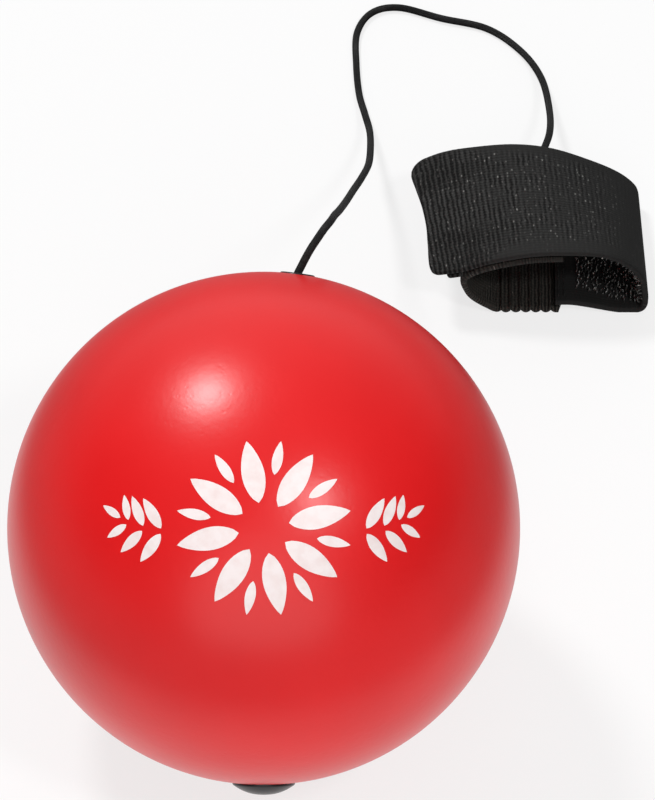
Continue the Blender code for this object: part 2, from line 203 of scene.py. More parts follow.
# %% [markdown]
# ## Where the bore runs
# The cord goes through the ball along a bore that rises away from the viewer at 40 degrees and leans
# a little to the right. The eyelet, the cap and the cord's first stretch are all placed on it, so it
# is worked out once, as a matrix whose Z axis runs along the bore.

# %% The bore
BALL_RADIUS = 0.03175
BALL_CENTRE = Vector((0.0, 0.0, 0.03135))
BORE_OFFSET, BORE_RISE_DEG, BORE_LEAN_DEG = 0.0021, 40.0, 3.8
HALF_BORE = math.sqrt(BALL_RADIUS**2 - BORE_OFFSET**2)


def bore_place():
    rise, lean = math.radians(BORE_RISE_DEG), math.radians(BORE_LEAN_DEG)
    up, right = Vector((0.0, math.cos(rise), math.sin(rise))), Vector((1.0, 0.0, 0.0))
    along = up * math.cos(lean) + right * math.sin(lean)
    across = right * math.cos(lean) - up * math.sin(lean)
    turn = Matrix((across, along.cross(across), along)).transposed()
    return Matrix.Translation(BALL_CENTRE + across * BORE_OFFSET) @ turn.to_4x4()


BORE = bore_place()
print("cord leaves the ball at", tuple(round(c, 4) for c in BORE @ Vector((0, 0, HALF_BORE))))

# %% [markdown]
# ## The ball
# The real ball is polyurethane foam that has been moulded and painted, so its skin is one smooth
# round with a soft lip where the bore was opened. A UV sphere would have a pole in it; a cube that
# is divided and rounded has even faces all over, which squash well too.

# %% Ball
BALL_CUTS, ABOVE_TABLE = 71, 0.00002
bpy.ops.object.select_all(action="DESELECT")
bpy.ops.mesh.primitive_cube_add(size=2 * BALL_RADIUS, location=BALL_CENTRE)
ball = bpy.context.object
ball.name = ball.data.name = "ball_skin"
bpy.ops.object.mode_set(mode="EDIT")
bpy.ops.mesh.select_all(action="SELECT")
bpy.ops.mesh.subdivide(number_cuts=BALL_CUTS)
bpy.ops.transform.tosphere(value=1.0)
bpy.ops.object.mode_set(mode="OBJECT")
grown = BALL_RADIUS / ball.data.vertices[0].co.length
ball.data.transform(Matrix.Translation(BALL_CENTRE) @ Matrix.Scale(grown, 4))
ball.location = (0, 0, 0)
for vertex in ball.data.vertices:
    vertex.co.z = max(vertex.co.z, ABOVE_TABLE)
print("ball:", len(ball.data.polygons), "faces before its seats are cut")

# %% [markdown]
# ## The seats
# The eyelet and the cap sit in the foam, each in a shallow recess with a hole in the middle where the
# bore goes on. The faces round each end could be cut and moved by hand. A turned cutter that a Boolean
# takes out of the skin gives a clean round edge instead, with a lip as soft as foam has.

# %% Seats for the eyelet and the cap
LIP, LIP_BEND, REACH, SEAT_DEPTH = 0.0005, 0.3, 0.006, 0.0011


def seat_place(height):
    """Where the bore meets the skin, with Z straight out of the skin."""
    spot = BORE @ Vector((0.0, 0.0, height))
    out = (spot - BALL_CENTRE).normalized()
    return Matrix.Translation(spot) @ Vector((0, 0, 1)).rotation_difference(out).to_matrix().to_4x4()


def cut_seat(name, place, radius, hole, hole_depth):
    """Cut a round recess with a softened lip into the ball, and a deeper hole in the middle of it."""
    profile = [(0.0, -hole_depth), (hole, -hole_depth), (hole, -SEAT_DEPTH), (radius, -SEAT_DEPTH),
               (radius, -LIP), (radius + LIP * LIP_BEND, -LIP * LIP_BEND), (radius + LIP, 0.0),
               (radius + LIP, REACH), (0.0, REACH)]
    cutter = turned(name, profile, place, steps=64)
    cut = ball.modifiers.new(name, "BOOLEAN")
    cut.operation = "DIFFERENCE"
    cut.solver = "EXACT"
    cut.object = cutter
    apply_modifiers(ball)
    bpy.data.objects.remove(cutter, do_unlink=True)


EYELET_PLACE, CAP_PLACE = seat_place(HALF_BORE), seat_place(-HALF_BORE)
cut_seat("eyelet_seat", EYELET_PLACE, radius=0.00225, hole=0.00182, hole_depth=0.0120)
cut_seat("cap_seat", CAP_PLACE, radius=0.00396, hole=0.00295, hole_depth=0.0075)
soften(ball, 30.0)
print("ball skin:", len(ball.data.polygons), "faces")

# %% [markdown]
# The skin is a flexible polyurethane paint over foam. It is satin, not mirror-bright: the lamps show
# as two soft spots, the table as a paler glow round the rim. Seen close, fine pits break the spots
# up, and the colour drifts a little where the paint is thinner.

# %% Painted foam skin
# Patterns to the metre: drifts of colour 17 mm wide, orange peel of 0.9 mm, pits 1.1 mm apart.
DRIFTS, PEEL, PITS = 60.0, 1100.0, 900.0
painted_foam, tree, shader = new_material("painted_polyurethane_foam", IOR=1.46)
where = add_node(tree, "TexCoord").outputs["Object"]
clouds = add_node(tree, "TexNoise", {"Vector": where, "Scale": DRIFTS, "Detail": 3.0})
tint = add_node(tree, "ValToRGB", {"Fac": clouds}, stops=((0.3, "#db1417"), (0.7, "#e2181b")))
haze = add_node(tree, "MapRange", {"Value": clouds, "To Min": 0.29, "To Max": 0.35})
peel = add_node(tree, "TexNoise", {"Vector": where, "Scale": PEEL, "Detail": 2.0})
pits = add_node(tree, "TexVoronoi", {"Vector": where, "Scale": PITS})
dips = add_node(tree, "MapRange", {"Value": pits, "From Max": 0.25, "To Min": -0.5, "To Max": 0.0})
skin = add_node(tree, "Math", {0: peel, 1: dips}, operation="ADD")
bump = add_node(tree, "Bump", {"Height": skin, "Strength": 0.07, "Distance": 0.0002})
set_inputs(tree, shader, {"Base Color": tint, "Roughness": haze, "Normal": bump})
dress(ball, painted_foam)
print("skin:", painted_foam.name)

# %% [markdown]
# When the ball is pressed along its bore the foam gives way. The skin goes with the ball's body, with a mesh
# of its own.


def goes_with_foam(piece):
    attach(piece, "ball")
    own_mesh(piece)


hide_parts("foam_ball")
goes_with_foam(ball)

# %% [markdown]
# ## Eyelet
# A small black moulding lies flush in the ball's top and keeps the cord from cutting the foam. It
# could be a cylinder with bevelled edges; spun from a profile, its flange, barrel and hole come out in
# one, with the upper edges already rounded.

# %% Eyelet
EYELET_HOLE, EYELET_BARREL, EYELET_FLANGE = 0.0009, 0.0016, 0.0022
EYELET_PROUD, FLANGE_THICK, EYELET_LENGTH, EDGE = 0.00008, 0.0007, 0.0060, 0.0003
inner_top, outer_top = (EYELET_HOLE, EYELET_PROUD), (EYELET_FLANGE, EYELET_PROUD)
flange_low = (EYELET_FLANGE, EYELET_PROUD - FLANGE_THICK)
eyelet_end = (EYELET_HOLE, EYELET_PROUD - EYELET_LENGTH)
eyelet_profile = [
    eyelet_end, *rounded(inner_top, eyelet_end, outer_top, EDGE),
    *rounded(outer_top, inner_top, flange_low, EDGE), flange_low,
    (EYELET_BARREL, flange_low[1]), (EYELET_BARREL, eyelet_end[1]), eyelet_end,
]
eyelet = turned("eyelet", eyelet_profile, EYELET_PLACE)
print("eyelet:", len(eyelet.data.polygons), "faces")

# %% [markdown]
# ## End cap
# A domed cap closes the bore below, held by a hollow plug. Half a flattened sphere would stand upright
# at the rim, so the dome's profile is a curve a little fuller than a parabola, spun with its plug.

# %% End cap
CAP_RIM, CAP_DOME, CAP_DEPTH, CAP_EDGE = 0.0039, 0.0013, 0.0006, 0.00015
CAP_PLUG, CAP_WALL, CAP_PLUG_LENGTH = 0.0029, 0.0008, 0.0040
DOME_SQUARENESS, DOME_STEPS = 2.3, 24
dome = []
for i in range(DOME_STEPS):
    dome.append((CAP_RIM * i / DOME_STEPS, CAP_DOME * (1 - (i / DOME_STEPS) ** DOME_SQUARENESS)))
rim_top, rim_back = (CAP_RIM, 0.0), (CAP_RIM, -CAP_DEPTH)
plug_end, plug_hole = -CAP_DEPTH - CAP_PLUG_LENGTH, CAP_PLUG - CAP_WALL
cap_profile = [
    *dome, *rounded(rim_top, dome[-1], rim_back, CAP_EDGE), rim_back,
    (CAP_PLUG, -CAP_DEPTH), (CAP_PLUG, plug_end),
    (plug_hole, plug_end), (plug_hole, -CAP_DEPTH), (0.0, -CAP_DEPTH),
]
cap = turned("cap", cap_profile, CAP_PLACE)
print("cap:", len(cap.data.polygons), "faces")

# %% [markdown]
# The eyelet and the cap are injection-moulded polypropylene: nearly black, with a soft gloss and a fine
# grain from the mould that breaks the highlight up. The grain is drawn a quarter of a millimetre wide,
# which is coarser than a real mould's, so that it shows.

# %% Moulded black plastic
# Grains to the metre: 0.25 mm each.
MOULD_GRAIN = 4000.0
moulded_black, tree, shader = new_material("moulded_black_polypropylene", IOR=1.49, Specular_IOR_Level=0.35)
where = add_node(tree, "TexCoord").outputs["Object"]
grain = add_node(tree, "TexNoise", {"Vector": where, "Scale": MOULD_GRAIN, "Detail": 2.0})
tint = add_node(tree, "ValToRGB", {"Fac": grain}, stops=((0.0, "#161415"), (1.0, "#211e20")))
gloss = add_node(tree, "MapRange", {"Value": grain, "To Min": 0.24, "To Max": 0.36})
bump = add_node(tree, "Bump", {"Height": grain, "Strength": 0.12, "Distance": 0.00005})
set_inputs(tree, shader, {"Base Color": tint, "Roughness": gloss, "Normal": bump})
for piece, node, body in ((eyelet, "top_eyelet", "eyelet"), (cap, "end_cap", "ball")):
    dress(piece, moulded_black)
    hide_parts(node)
    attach(piece, body)
dress(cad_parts["strap_eyelet"], moulded_black)
print("black plastic on", eyelet.name, "and", cap.name)

# %% [markdown]
# ## Smooth lines
# Cord and tapes follow lines that were drawn as a few points each. A Bezier curve would need two
# handles for every point; a curve that goes through the points themselves needs none.


# %% A smooth line through points
def smooth(points, steps):
    """A smooth curve through the points. steps is how many samples a span gets, or a list by span."""
    points = [Vector(p) for p in points]
    counts = steps if isinstance(steps, list) else [steps] * (len(points) - 1)
    ends = [2 * points[0] - points[1], *points, 2 * points[-1] - points[-2]]
    curve = []
    for a, b, c, d, count in zip(ends, ends[1:], ends[2:], ends[3:], counts):
        for i in range(count):
            t = i / count
            bend = (b * 2, c - a, a * 2 - b * 5 + c * 4 - d, b * 3 - a - c * 3 + d)
            curve.append(sum((term * t**n for n, term in enumerate(bend)), Vector(b) * 0) / 2)
    return curve + [points[-1]]


def lengths(curve):
    """How far along a line each of its points is."""
    run = [0.0]
    for a, b in zip(curve, curve[1:]):
        run.append(run[-1] + (b - a).length)
    return run


def halfway(near, far):
    return [(a + b) / 2 for a, b in zip(near, far)]


# %% [markdown]
# ## The strap's outlines
# The strap is a flat tape in a loop. Its shape is drawn twice, at the near and at the far edge, as
# distance right of the middle and height; straight lines across join the two. The hook tape makes
# the tab, the top and the right-hand turn. The elastic makes the ribbed floor, the left-hand turn
# and the layer under the tab.

# %% Outlines
STRAP_WIDTH, STRAP_THICKNESS = 0.0200, 0.0009
STRAP_X, STRAP_Y, STRAP_SKEW = 0.0380, 0.0725, 0.0004
TAB_NEAR = [(-0.0159, 0.0084), (-0.0118, 0.0092), (-0.0080, 0.0108),
            (-0.0027, 0.0122), (0.0020, 0.01255), (0.0072, 0.0122)]
TAB_FAR = [(-0.0191, 0.0086), (-0.0147, 0.0111), (-0.0104, 0.0122),
           (-0.0047, 0.0128), (0.0006, 0.0120), (0.0060, 0.0096)]
BAND_NEAR = [(0.0106, 0.0105), (0.0131, 0.0075), (0.0139, 0.0040),
             (0.0139, 0.0012), (0.0127, 0.0), (0.0100, 0.0)]
BAND_FAR = [(0.0101, 0.0071), (0.0125, 0.0045), (0.0131, 0.0022),
            (0.0130, 0.0010), (0.0121, 0.0), (0.0098, 0.0)]
TURN_NEAR = [(-0.0062, 0.0), (-0.0083, 0.0010), (-0.0104, 0.0028),
             (-0.0114, 0.0046), (-0.0118, 0.0066), (-0.0105, 0.0082)]
TURN_FAR = [(-0.0062, 0.0), (-0.0082, 0.0012), (-0.0104, 0.0034),
            (-0.0115, 0.0052), (-0.0116, 0.0066), (-0.0107, 0.0077)]


def outward(curve, i):
    """The way out of the loop at a sample of an outline."""
    run = curve[min(i + 1, len(curve) - 1)] - curve[max(i - 1, 0)]
    return Vector((-run[1], run[0])).normalized()


def inset(curve, depth):
    return [Vector(p) - outward(curve, i) * depth for i, p in enumerate(curve)]


def settle(curve):
    """Lift what a smooth curve has taken below the table."""
    return [Vector((p[0], max(p[1], 0.0))) for p in curve]


def strap_point(flat, side):
    """A point of an outline in its place. side is 0 at the near edge and 1 at the far one."""
    off = side - 0.5
    return Vector((STRAP_X + off * STRAP_SKEW + flat[0], STRAP_Y + off * STRAP_WIDTH, flat[1]))


print("the strap's middle is at", STRAP_X, STRAP_Y)

# %% [markdown]
# The band's end laps over the elastic and is sewn to it. The elastic comes up under the closed tab,
# as far below it as the cord between them needs. That last stretch could be drawn too, but taken from
# the hook tape's own outline it can't cut into the tape.

# %% Hook tape and elastic
CLEARANCE, CLOSED_GAP = 0.0003, 0.00035
RIB_PITCH, RIB_HEIGHT, RIB_COUNT, RIB_START = 0.00137, 0.00035, 6, 0.0036
LAP_START, LAP_LENGTH, LAP_RAMP = 0.0053, 0.0040, 0.75
CORD_LIFT, BUSH_FROM_EDGE = 0.00086, 0.0046
BUSH_SIDE = 1 - BUSH_FROM_EDGE / STRAP_WIDTH
GAP_AT_CORD = CLOSED_GAP + (2 * CORD_LIFT - CLOSED_GAP) / BUSH_SIDE
SPAN, FLOOR_SPAN, TURN_SPAN = 32, 56, 16
UNDER_TAB_NEAR, UNDER_TAB_FAR = (2.0, 3.0, 4.0), (2.0, 3.0, 4.5)

lap_height = STRAP_THICKNESS + RIB_HEIGHT + CLEARANCE
lap = [(LAP_START, lap_height * LAP_RAMP), (LAP_START - LAP_LENGTH / 2, lap_height),
       (LAP_START - LAP_LENGTH, lap_height)]
hook_near = settle(smooth(TAB_NEAR + BAND_NEAR + lap, SPAN))
hook_far = settle(smooth(TAB_FAR + BAND_FAR + lap, SPAN))
under_near = inset(hook_near, STRAP_THICKNESS + CLOSED_GAP)
under_far = inset(hook_far, STRAP_THICKNESS + GAP_AT_CORD)
floor_run = [(LAP_START - CLEARANCE, 0.0), ((LAP_START - CLEARANCE + TURN_NEAR[0][0]) / 2, 0.0)]
top_near = [under_near[round(place * SPAN)] for place in UNDER_TAB_NEAR]
top_far = [under_far[round(place * SPAN)] for place in UNDER_TAB_FAR]
elastic_steps = [FLOOR_SPAN] * 2 + [TURN_SPAN] * (len(TURN_NEAR) + len(top_near) - 1)
elastic_near = settle(smooth(floor_run + TURN_NEAR + top_near, elastic_steps))
elastic_far = settle(smooth(floor_run + TURN_FAR + top_far, elastic_steps))
print("hook tape", round(lengths(hook_near)[-1], 4), "m, elastic", round(lengths(elastic_near)[-1], 4), "m")

# %% [markdown]
# ## The bush in the elastic
# The cord goes through the elastic in a small bush, which keeps its CAD shape. The end of the cord's
# line follows from it, so its place is worked out first, with Z straight out of the tape.

# %% Where the bush is
bush_at = len(elastic_near) - 1 - elastic_steps[-1] // 2
bush_near = strap_point(elastic_near[bush_at], 0)
bush_far = strap_point(elastic_far[bush_at], 1)
bush_across = (bush_far - bush_near).normalized()
flat_up = outward(elastic_near, bush_at).lerp(outward(elastic_far, bush_at), BUSH_SIDE)
bush_up = Vector((flat_up[0], 0.0, flat_up[1]))
bush_up = (bush_up - bush_across * bush_up.dot(bush_across)).normalized()
bush_turn = Matrix((bush_across.cross(bush_up), bush_across, bush_up)).transposed()
BUSH = Matrix.Translation(bush_near.lerp(bush_far, BUSH_SIDE)) @ bush_turn.to_4x4()
print("bush at", tuple(round(c, 4) for c in BUSH.translation))

# %% [markdown]
# ## The cord
# A rubber core in a braided cover, one millimetre thick. It leaves the bore, arches over, comes down
# to the table under its own weight, lies in a wide bend and climbs to the strap, where it goes in over
# the elastic from the far edge and bends down into the bush. It could be let fall by a simulation, but
# the route must be the one in the part's source, so it is the same points, joined by a smooth curve.

# %% The cord's route
CORD_RADIUS = 0.0005
CORD_ROUTE = [
    (0.00467, 0.02487, 0.05222), (0.00523, 0.02572, 0.05290), (0.00585, 0.02662, 0.05352),
    (0.00664, 0.02785, 0.05394), (0.00747, 0.02960, 0.05380), (0.00826, 0.03230, 0.05225),
    (0.00880, 0.03740, 0.04775), (0.00932, 0.04400, 0.04125), (0.00984, 0.05120, 0.03425),
    (0.01048, 0.05880, 0.02715), (0.01138, 0.06680, 0.02035), (0.01248, 0.07400, 0.01480),
    (0.01354, 0.08100, 0.01005), (0.01388, 0.08760, 0.00615), (0.01384, 0.09360, 0.00325),
    (0.01320, 0.09860, 0.00150), (0.01240, 0.10340, 0.00062), (0.01202, 0.10930, 0.00050),
    (0.01215, 0.11560, 0.00050), (0.01430, 0.11970, 0.00050), (0.01830, 0.12075, 0.00050),
    (0.02430, 0.11860, 0.00050), (0.03090, 0.11650, 0.00050), (0.03560, 0.11200, 0.00060),
    (0.03832, 0.10590, 0.00150), (0.03916, 0.09720, 0.00430), (0.03885, 0.08890, 0.00800),
]
CORD_SPAN, CORD_JOIN, CORD_SIDEWAYS, STILL_SIDEWAYS = 16, 0.0028, 0.00045, 0.2
BUSH_BEND, BUSH_FLOOR, BEND_STEPS = 0.0020, -0.0016, 3
in_eyelet = [(0.0, CORD_JOIN), (-0.00016, 0.0018), (-0.00022, 0.0009), (-0.00002, 0.0)]
cord_start = [BORE @ Vector((aside, 0.0, HALF_BORE - depth)) for aside, depth in in_eyelet]
entry = [(CORD_SIDEWAYS, BUSH_FROM_EDGE, CORD_LIFT)]
for i in range(BEND_STEPS + 1):
    angle = math.pi / 2 * i / BEND_STEPS
    aside = CORD_SIDEWAYS * (STILL_SIDEWAYS if i == 0 else 0.0)
    entry.append((aside, BUSH_BEND * (1 - math.sin(angle)), CORD_LIFT - BUSH_BEND * (1 - math.cos(angle))))
entry.append((0.0, 0.0, BUSH_FLOOR))
cord_end = [BUSH @ Vector(point) for point in entry]
whole_path = smooth([*cord_start, *CORD_ROUTE, *cord_end], CORD_SPAN)
for point in whole_path:
    point.z = max(point.z, CORD_RADIUS)
parting = CORD_SPAN * (len(cord_start) + 1)
neck_path, cord_path = whole_path[: parting + 2], whole_path[parting:]

# %% [markdown]
# The cord is one round section all along its line. A circle could be spun or extruded from bend to
# bend; a curve with a round bevel keeps the section even through every bend, and gives the mesh a UV
# map that follows the cord, which the braid needs. Inside the ball a second stretch runs down the bore.


# %% Cords that follow a line
def tube(name, path, radius, sides=12):
    """A cord along a path: a curve with a round bevel, made a mesh. Its UV map runs along and round it."""
    line = bpy.data.curves.new(name, "CURVE")
    line.dimensions = "3D"
    line.bevel_depth = radius
    line.bevel_resolution = sides // 2 - 2
    line.use_fill_caps = True
    spline = line.splines.new("POLY")
    spline.points.add(len(path) - 1)
    for point, place in zip(spline.points, path):
        point.co = (*place, 1.0)
    pick(add_object(name, line))
    bpy.ops.object.convert(target="MESH")
    return soften(bpy.context.object, 60.0)


cord = tube("cord_cover", cord_path, CORD_RADIUS)
INSIDE_FROM, INSIDE_TO, INSIDE_STEPS = -0.0265, HALF_BORE - CORD_JOIN, 100
inside_path = []
for i in range(INSIDE_STEPS):
    depth = INSIDE_FROM + (INSIDE_TO - INSIDE_FROM) * i / INSIDE_STEPS
    inside_path.append(BORE @ Vector((0, 0, depth)))
inside_path += neck_path
inside_cord = tube("cord_in_bore", inside_path, CORD_RADIUS)
print("cord cover:", len(cord.data.polygons), "faces, in the bore:", len(inside_cord.data.polygons))

# %% [markdown]
# ## Knot
# The knot inside the strap's loop is an overhand knot. Its line is the trefoil, the knot that an
# overhand knot makes when its ends are joined, with the cord's cut tail below it. A round bead would
# be simpler, but the strands that cross are what makes a knot.

# %% Knot inside the loop
KNOT_SIZE, KNOT_DROP, KNOT_TALL, KNOT_STEPS = 0.00047, 0.0021, 1.6, 96
TAIL_SPAN = 12
TAIL = [(0.0002, 0.0, 0.0022), (0.0005, -0.0004, 0.0036), (0.0014, -0.0007, 0.0046)]
knot_centre = Vector((0.0, 0.0, BUSH_FLOOR - KNOT_DROP))
knot_path = []
for i in range(KNOT_STEPS + 1):
    t = math.tau * i / KNOT_STEPS
    x, y = math.sin(t) + 2 * math.sin(2 * t), math.cos(t) - 2 * math.cos(2 * t)
    trefoil = Vector((x, y, -KNOT_TALL * math.sin(3 * t)))
    knot_path.append(BUSH @ (trefoil * KNOT_SIZE + knot_centre))
knot = tube("knot_in_strap", knot_path, CORD_RADIUS)
tail_path = smooth([BUSH @ Vector((x, y, BUSH_FLOOR - drop)) for x, y, drop in TAIL], TAIL_SPAN)
tail = tube("knot_tail", tail_path, CORD_RADIUS)
print("knot:", len(knot.data.polygons), "faces, tail:", round(lengths(tail_path)[-1], 4), "m")

# %% [markdown]
# The cover is braided polyester. Two sets of fine strands cross round the core, so the surface is a
# net of small slanting bumps. They are about a third of a millimetre wide, which is drawn with two
# crossed waves on the cord's own UV map: it runs round the cord in X and along it in Y.

# %% Braided cover
BRAID_LAY, BRAID_ROUND = 0.0011, 8.0


def braided_cover(name, length=None):
    """A braid on a cord of one length, by its UV map, or on a wound CAD knot, by Object coordinates."""
    material, tree, shader = new_material(name, IOR=1.5, Specular_IOR_Level=0.3)
    place = add_node(tree, "TexCoord").outputs["UV" if length else "Object"]
    strands = []
    for turn in (1, -1):
        slant = (turn / BRAID_LAY, 1 / BRAID_LAY, 1 / BRAID_LAY)
        if length:
            slant = (BRAID_ROUND * turn, length / BRAID_LAY, 0.0)
        lay = add_node(tree, "VectorMath", {0: place, 1: slant}, operation="DOT_PRODUCT")
        phase = add_node(tree, "Math", {0: lay.outputs["Value"], 1: math.tau}, operation="MULTIPLY")
        strands.append(add_node(tree, "Math", {0: phase}, operation="SINE"))
    height = add_node(tree, "Math", {0: strands[0], 1: strands[1]}, operation="MAXIMUM")
    # The tint follows the strands' height: painted shade in the grooves between strands, painted light on their
    # crests.
    tint = add_node(tree, "ValToRGB", {"Fac": height}, stops=((0.0, "#070707"), (1.0, "#161616")))
    rough = add_node(tree, "MapRange", {"Value": height, "From Min": -1.0, "To Min": 0.72, "To Max": 0.5})
    bump = add_node(tree, "Bump", {"Height": height, "Strength": 0.5, "Distance": 0.00004})
    set_inputs(tree, shader, {"Base Color": tint, "Roughness": rough, "Normal": bump})
    return material


for piece, path in ((cord, cord_path), (inside_cord, inside_path), (knot, knot_path), (tail, tail_path)):
    dress(piece, braided_cover("braided_polyester_" + piece.name, lengths(path)[-1]))
dress(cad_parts["anchor_knot"], braided_cover("braided_polyester_anchor_knot"))
print("braid: one turn in", BRAID_LAY * BRAID_ROUND, "m")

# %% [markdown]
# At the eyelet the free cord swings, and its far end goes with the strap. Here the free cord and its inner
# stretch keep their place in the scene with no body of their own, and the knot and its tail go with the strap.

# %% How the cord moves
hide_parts("free_cord")
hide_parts("bore_cord")
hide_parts("strap_knot")
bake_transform(inside_cord)
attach(knot, "strap")
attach(tail, "strap")
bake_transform(cord)
print("cord from", tuple(round(c, 4) for c in cord_path[0]), "to", tuple(round(c, 4) for c in cord_path[-1]))

# %% [markdown]
# ## Washer
# A plain zinc-plated steel washer inside the ball keeps the cord's knot from pulling through. It is
# never seen, so it keeps its CAD shape and only gets the dull, faintly mottled look of plating.

# %% Plated steel
# Mottles to the metre: 1.1 mm each.
MOTTLES = 900.0
plated_steel, tree, shader = new_material("zinc_plated_steel", Metallic=1.0)
where = add_node(tree, "TexCoord").outputs["Object"]
mottle = add_node(tree, "TexNoise", {"Vector": where, "Scale": MOTTLES, "Detail": 3.0})
tint = add_node(tree, "ValToRGB", {"Fac": mottle}, stops=((0.0, "#9d9d99"), (1.0, "#b7b7b3")))
rough = add_node(tree, "MapRange", {"Value": mottle, "To Min": 0.28, "To Max": 0.42})
set_inputs(tree, shader, {"Base Color": tint, "Roughness": rough})
dress(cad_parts["anchor_washer"], plated_steel)
print("washer:", plated_steel.name)

# %% [markdown]
# ## Tapes
# Each stretch of the strap is a closed strip, flat across with rounded selvedges, that follows its
# outlines. A plane could be bent along a curve, but only a strip built row by row can follow two
# different edges. Its faces carry real relief: cross ribs on the hook tape's woven back, deep
# corrugations on the elastic. A UV map in metres, across and along the tape, carries the weave.

# %% One row of a strip
COLUMNS = [0.0, 0.004, 0.012, 0.028] + [0.05 + 0.9 * k / 30 for k in range(31)] + [0.972, 0.988, 0.996, 1.0]
FULLNESS = [0.35, 0.7, 0.9, 1.0] + [1.0] * 31 + [1.0, 0.9, 0.7, 0.35]
CUT_FADES = 0.45


def between(values, place):
    """The value at a place between two entries of a list."""
    low = min(int(place), len(values) - 2)
    return values[low] + (values[low + 1] - values[low]) * (place - low)


def place_of(along, run, i):
    """The place in a list of lengths, from entry i on, at which a length is reached."""
    while i < len(along) - 2 and along[i + 1] < run:
        i += 1
    return i + (run - along[i]) / (along[i + 1] - along[i]) if i < len(along) - 1 else i


def strip_faces(rows):
    """The faces of a closed strip: round each row and the next, and over both ends."""
    half = len(COLUMNS)
    count = 2 * half
    last = (rows - 1) * count
    faces = []
    for first in range(0, last, count):
        for j in range(count):
            k = (j + 1) % count
            faces.append((first + j, first + k, first + count + k, first + count + j))
    for j in range(half - 1):
        faces.append((j, count - 1 - j, count - 2 - j, j + 1))
        faces.append((last + j, last + j + 1, last + count - 2 - j, last + count - 1 - j))
    return faces


# %% [markdown]
# A row starts as two points across from each other on the outlines, once for the outer face and once
# for the inner. The columns between them are then raised or thinned, and the row's places across and
# along the tape are kept for the UV map.


# %% Strips that follow the outlines
def tape(name, near, far, thickness, margins=None, wave=None, relief=None, trim=None, begins=0.0, shows=None):
    """A strip between its near and far outlines, thick towards the loop's inside.

    margins draws each edge in, wave moves both faces into the loop, relief raises the outer face,
    and trim is how far the first end is cut back at each place across. begins is where the UV starts.
    shows is how plainly the weave stands out at a place, kept as the mesh's own attribute.
    """
    flush = [0.0] * len(near)
    near_margin, far_margin = margins or (flush, flush)
    near_out, far_out = ([outward(edge, i) for i in range(len(edge))] for edge in (near, far))
    along = lengths(halfway(near, far))
    fade = CUT_FADES * along[-1]
    verts, spots = [], []
    for i in range(len(near)):
        tops, unders, marks = [], [], []
        for side, full in zip(COLUMNS, FULLNESS):
            cut_back = trim(side) * max(1 - along[i] / fade, 0.0) if trim else 0.0
            run = along[i] + cut_back
            place = place_of(along, run, i)
            shift = wave(run) if wave else 0.0
            faces = []
            for depth in (shift, shift + thickness):
                a = strap_point(between(near, place) - between(near_out, place) * depth, 0)
                b = strap_point(between(far, place) - between(far_out, place) * depth, 1)
                inwards = (b - a).normalized()
                a, b = a + inwards * near_margin[i], b - inwards * far_margin[i]
                faces.append(a.lerp(b, side))
            middle = (faces[0] + faces[1]) / 2
            raised = relief(side * STRAP_WIDTH, begins + run) if relief else 0.0
            tops.append(middle + (faces[0] - middle) * (full + raised / (thickness / 2)))
            unders.append(middle + (faces[1] - middle) * full)
            marks.append((side * STRAP_WIDTH, begins + run))
        verts += tops + unders[::-1]
        spots += marks + marks[::-1]
    obj = new_mesh(name, verts, faces=strip_faces(len(near)))
    weave = obj.data.attributes.new("weave", "FLOAT", "POINT")
    weave.data.foreach_set("value", [shows(*spot) if shows else 1.0 for spot in spots])
    layer = obj.data.uv_layers.new(name="across_along")
    for loop in obj.data.loops:
        layer.data[loop.index].uv = spots[loop.vertex_index]
    bpy.ops.object.mode_set(mode="EDIT")
    bpy.ops.mesh.select_all(action="SELECT")
    bpy.ops.mesh.normals_make_consistent(inside=False)
    bpy.ops.object.mode_set(mode="OBJECT")
    return soften(obj, 50.0)


def corner(run, radius):
    """How far an edge is drawn in along a strip whose end corner is rounded."""
    left = [max(radius - along, 0.0) for along in run]
    return [radius - math.sqrt(radius**2 - short**2) for short in left]


# %% [markdown]
# ## Hook tape
# The hook tape's back is woven: cross ribs about 0.7 mm apart, each one a row of small loops. They
# stand out at the tab's end and leave plain margins further on. A bump could draw them, but at the
# tab's end they show in the outline, so they are raised in the mesh.

# %% The weave's ribs
WEAVE_PITCH, WEAVE_HEIGHT, TRACE = 0.00070, 0.00016, 0.10
# A margin's width at the tab's end, what it gains further on, and the same two for its soft edge.
NEAR_MARGIN, FAR_MARGIN = (-0.0010, 0.0026, 0.0008, 0.0009), (0.0002, 0.0010, 0.0006, 0.0007)
# Where along the tape a change starts, and over what length it comes about.
MARGINS_WIDEN, TURN_PLAIN, RIBS_SINK = (0.0062, 0.008), (0.0245, 0.0055), (0.006, 0.010)
SUNK = 0.6
# How far a rib wanders, in waves of what length, and where each wave starts.
WANDERING = ((0.00012, 0.0021, 0.0), (0.00009, 0.00083, 1.3))


def ease(value):
    value = min(max(value, 0.0), 1.0)
    return value * value * (3 - 2 * value)


def eased(along, change):
    start, over = change
    return ease((along - start) / over)


def past_margin(reach, margin, widening):
    """0 in a plain margin, 1 on the ribs beyond it."""
    width, gain, soft, soft_gain = margin
    return ease((reach - width - gain * widening) / (soft + soft_gain * widening))


def weave_shows(across, along):
    """Ribs from edge to edge at the tab's end, with margins that widen along it, and a trace on the turn."""
    widening = eased(along, MARGINS_WIDEN)
    from_near = past_margin(across, NEAR_MARGIN, widening)
    from_far = past_margin(STRAP_WIDTH - across, FAR_MARGIN, widening)
    onto_turn = 1 - eased(along, TURN_PLAIN)
    return TRACE + (1 - TRACE) * from_near * from_far * onto_turn


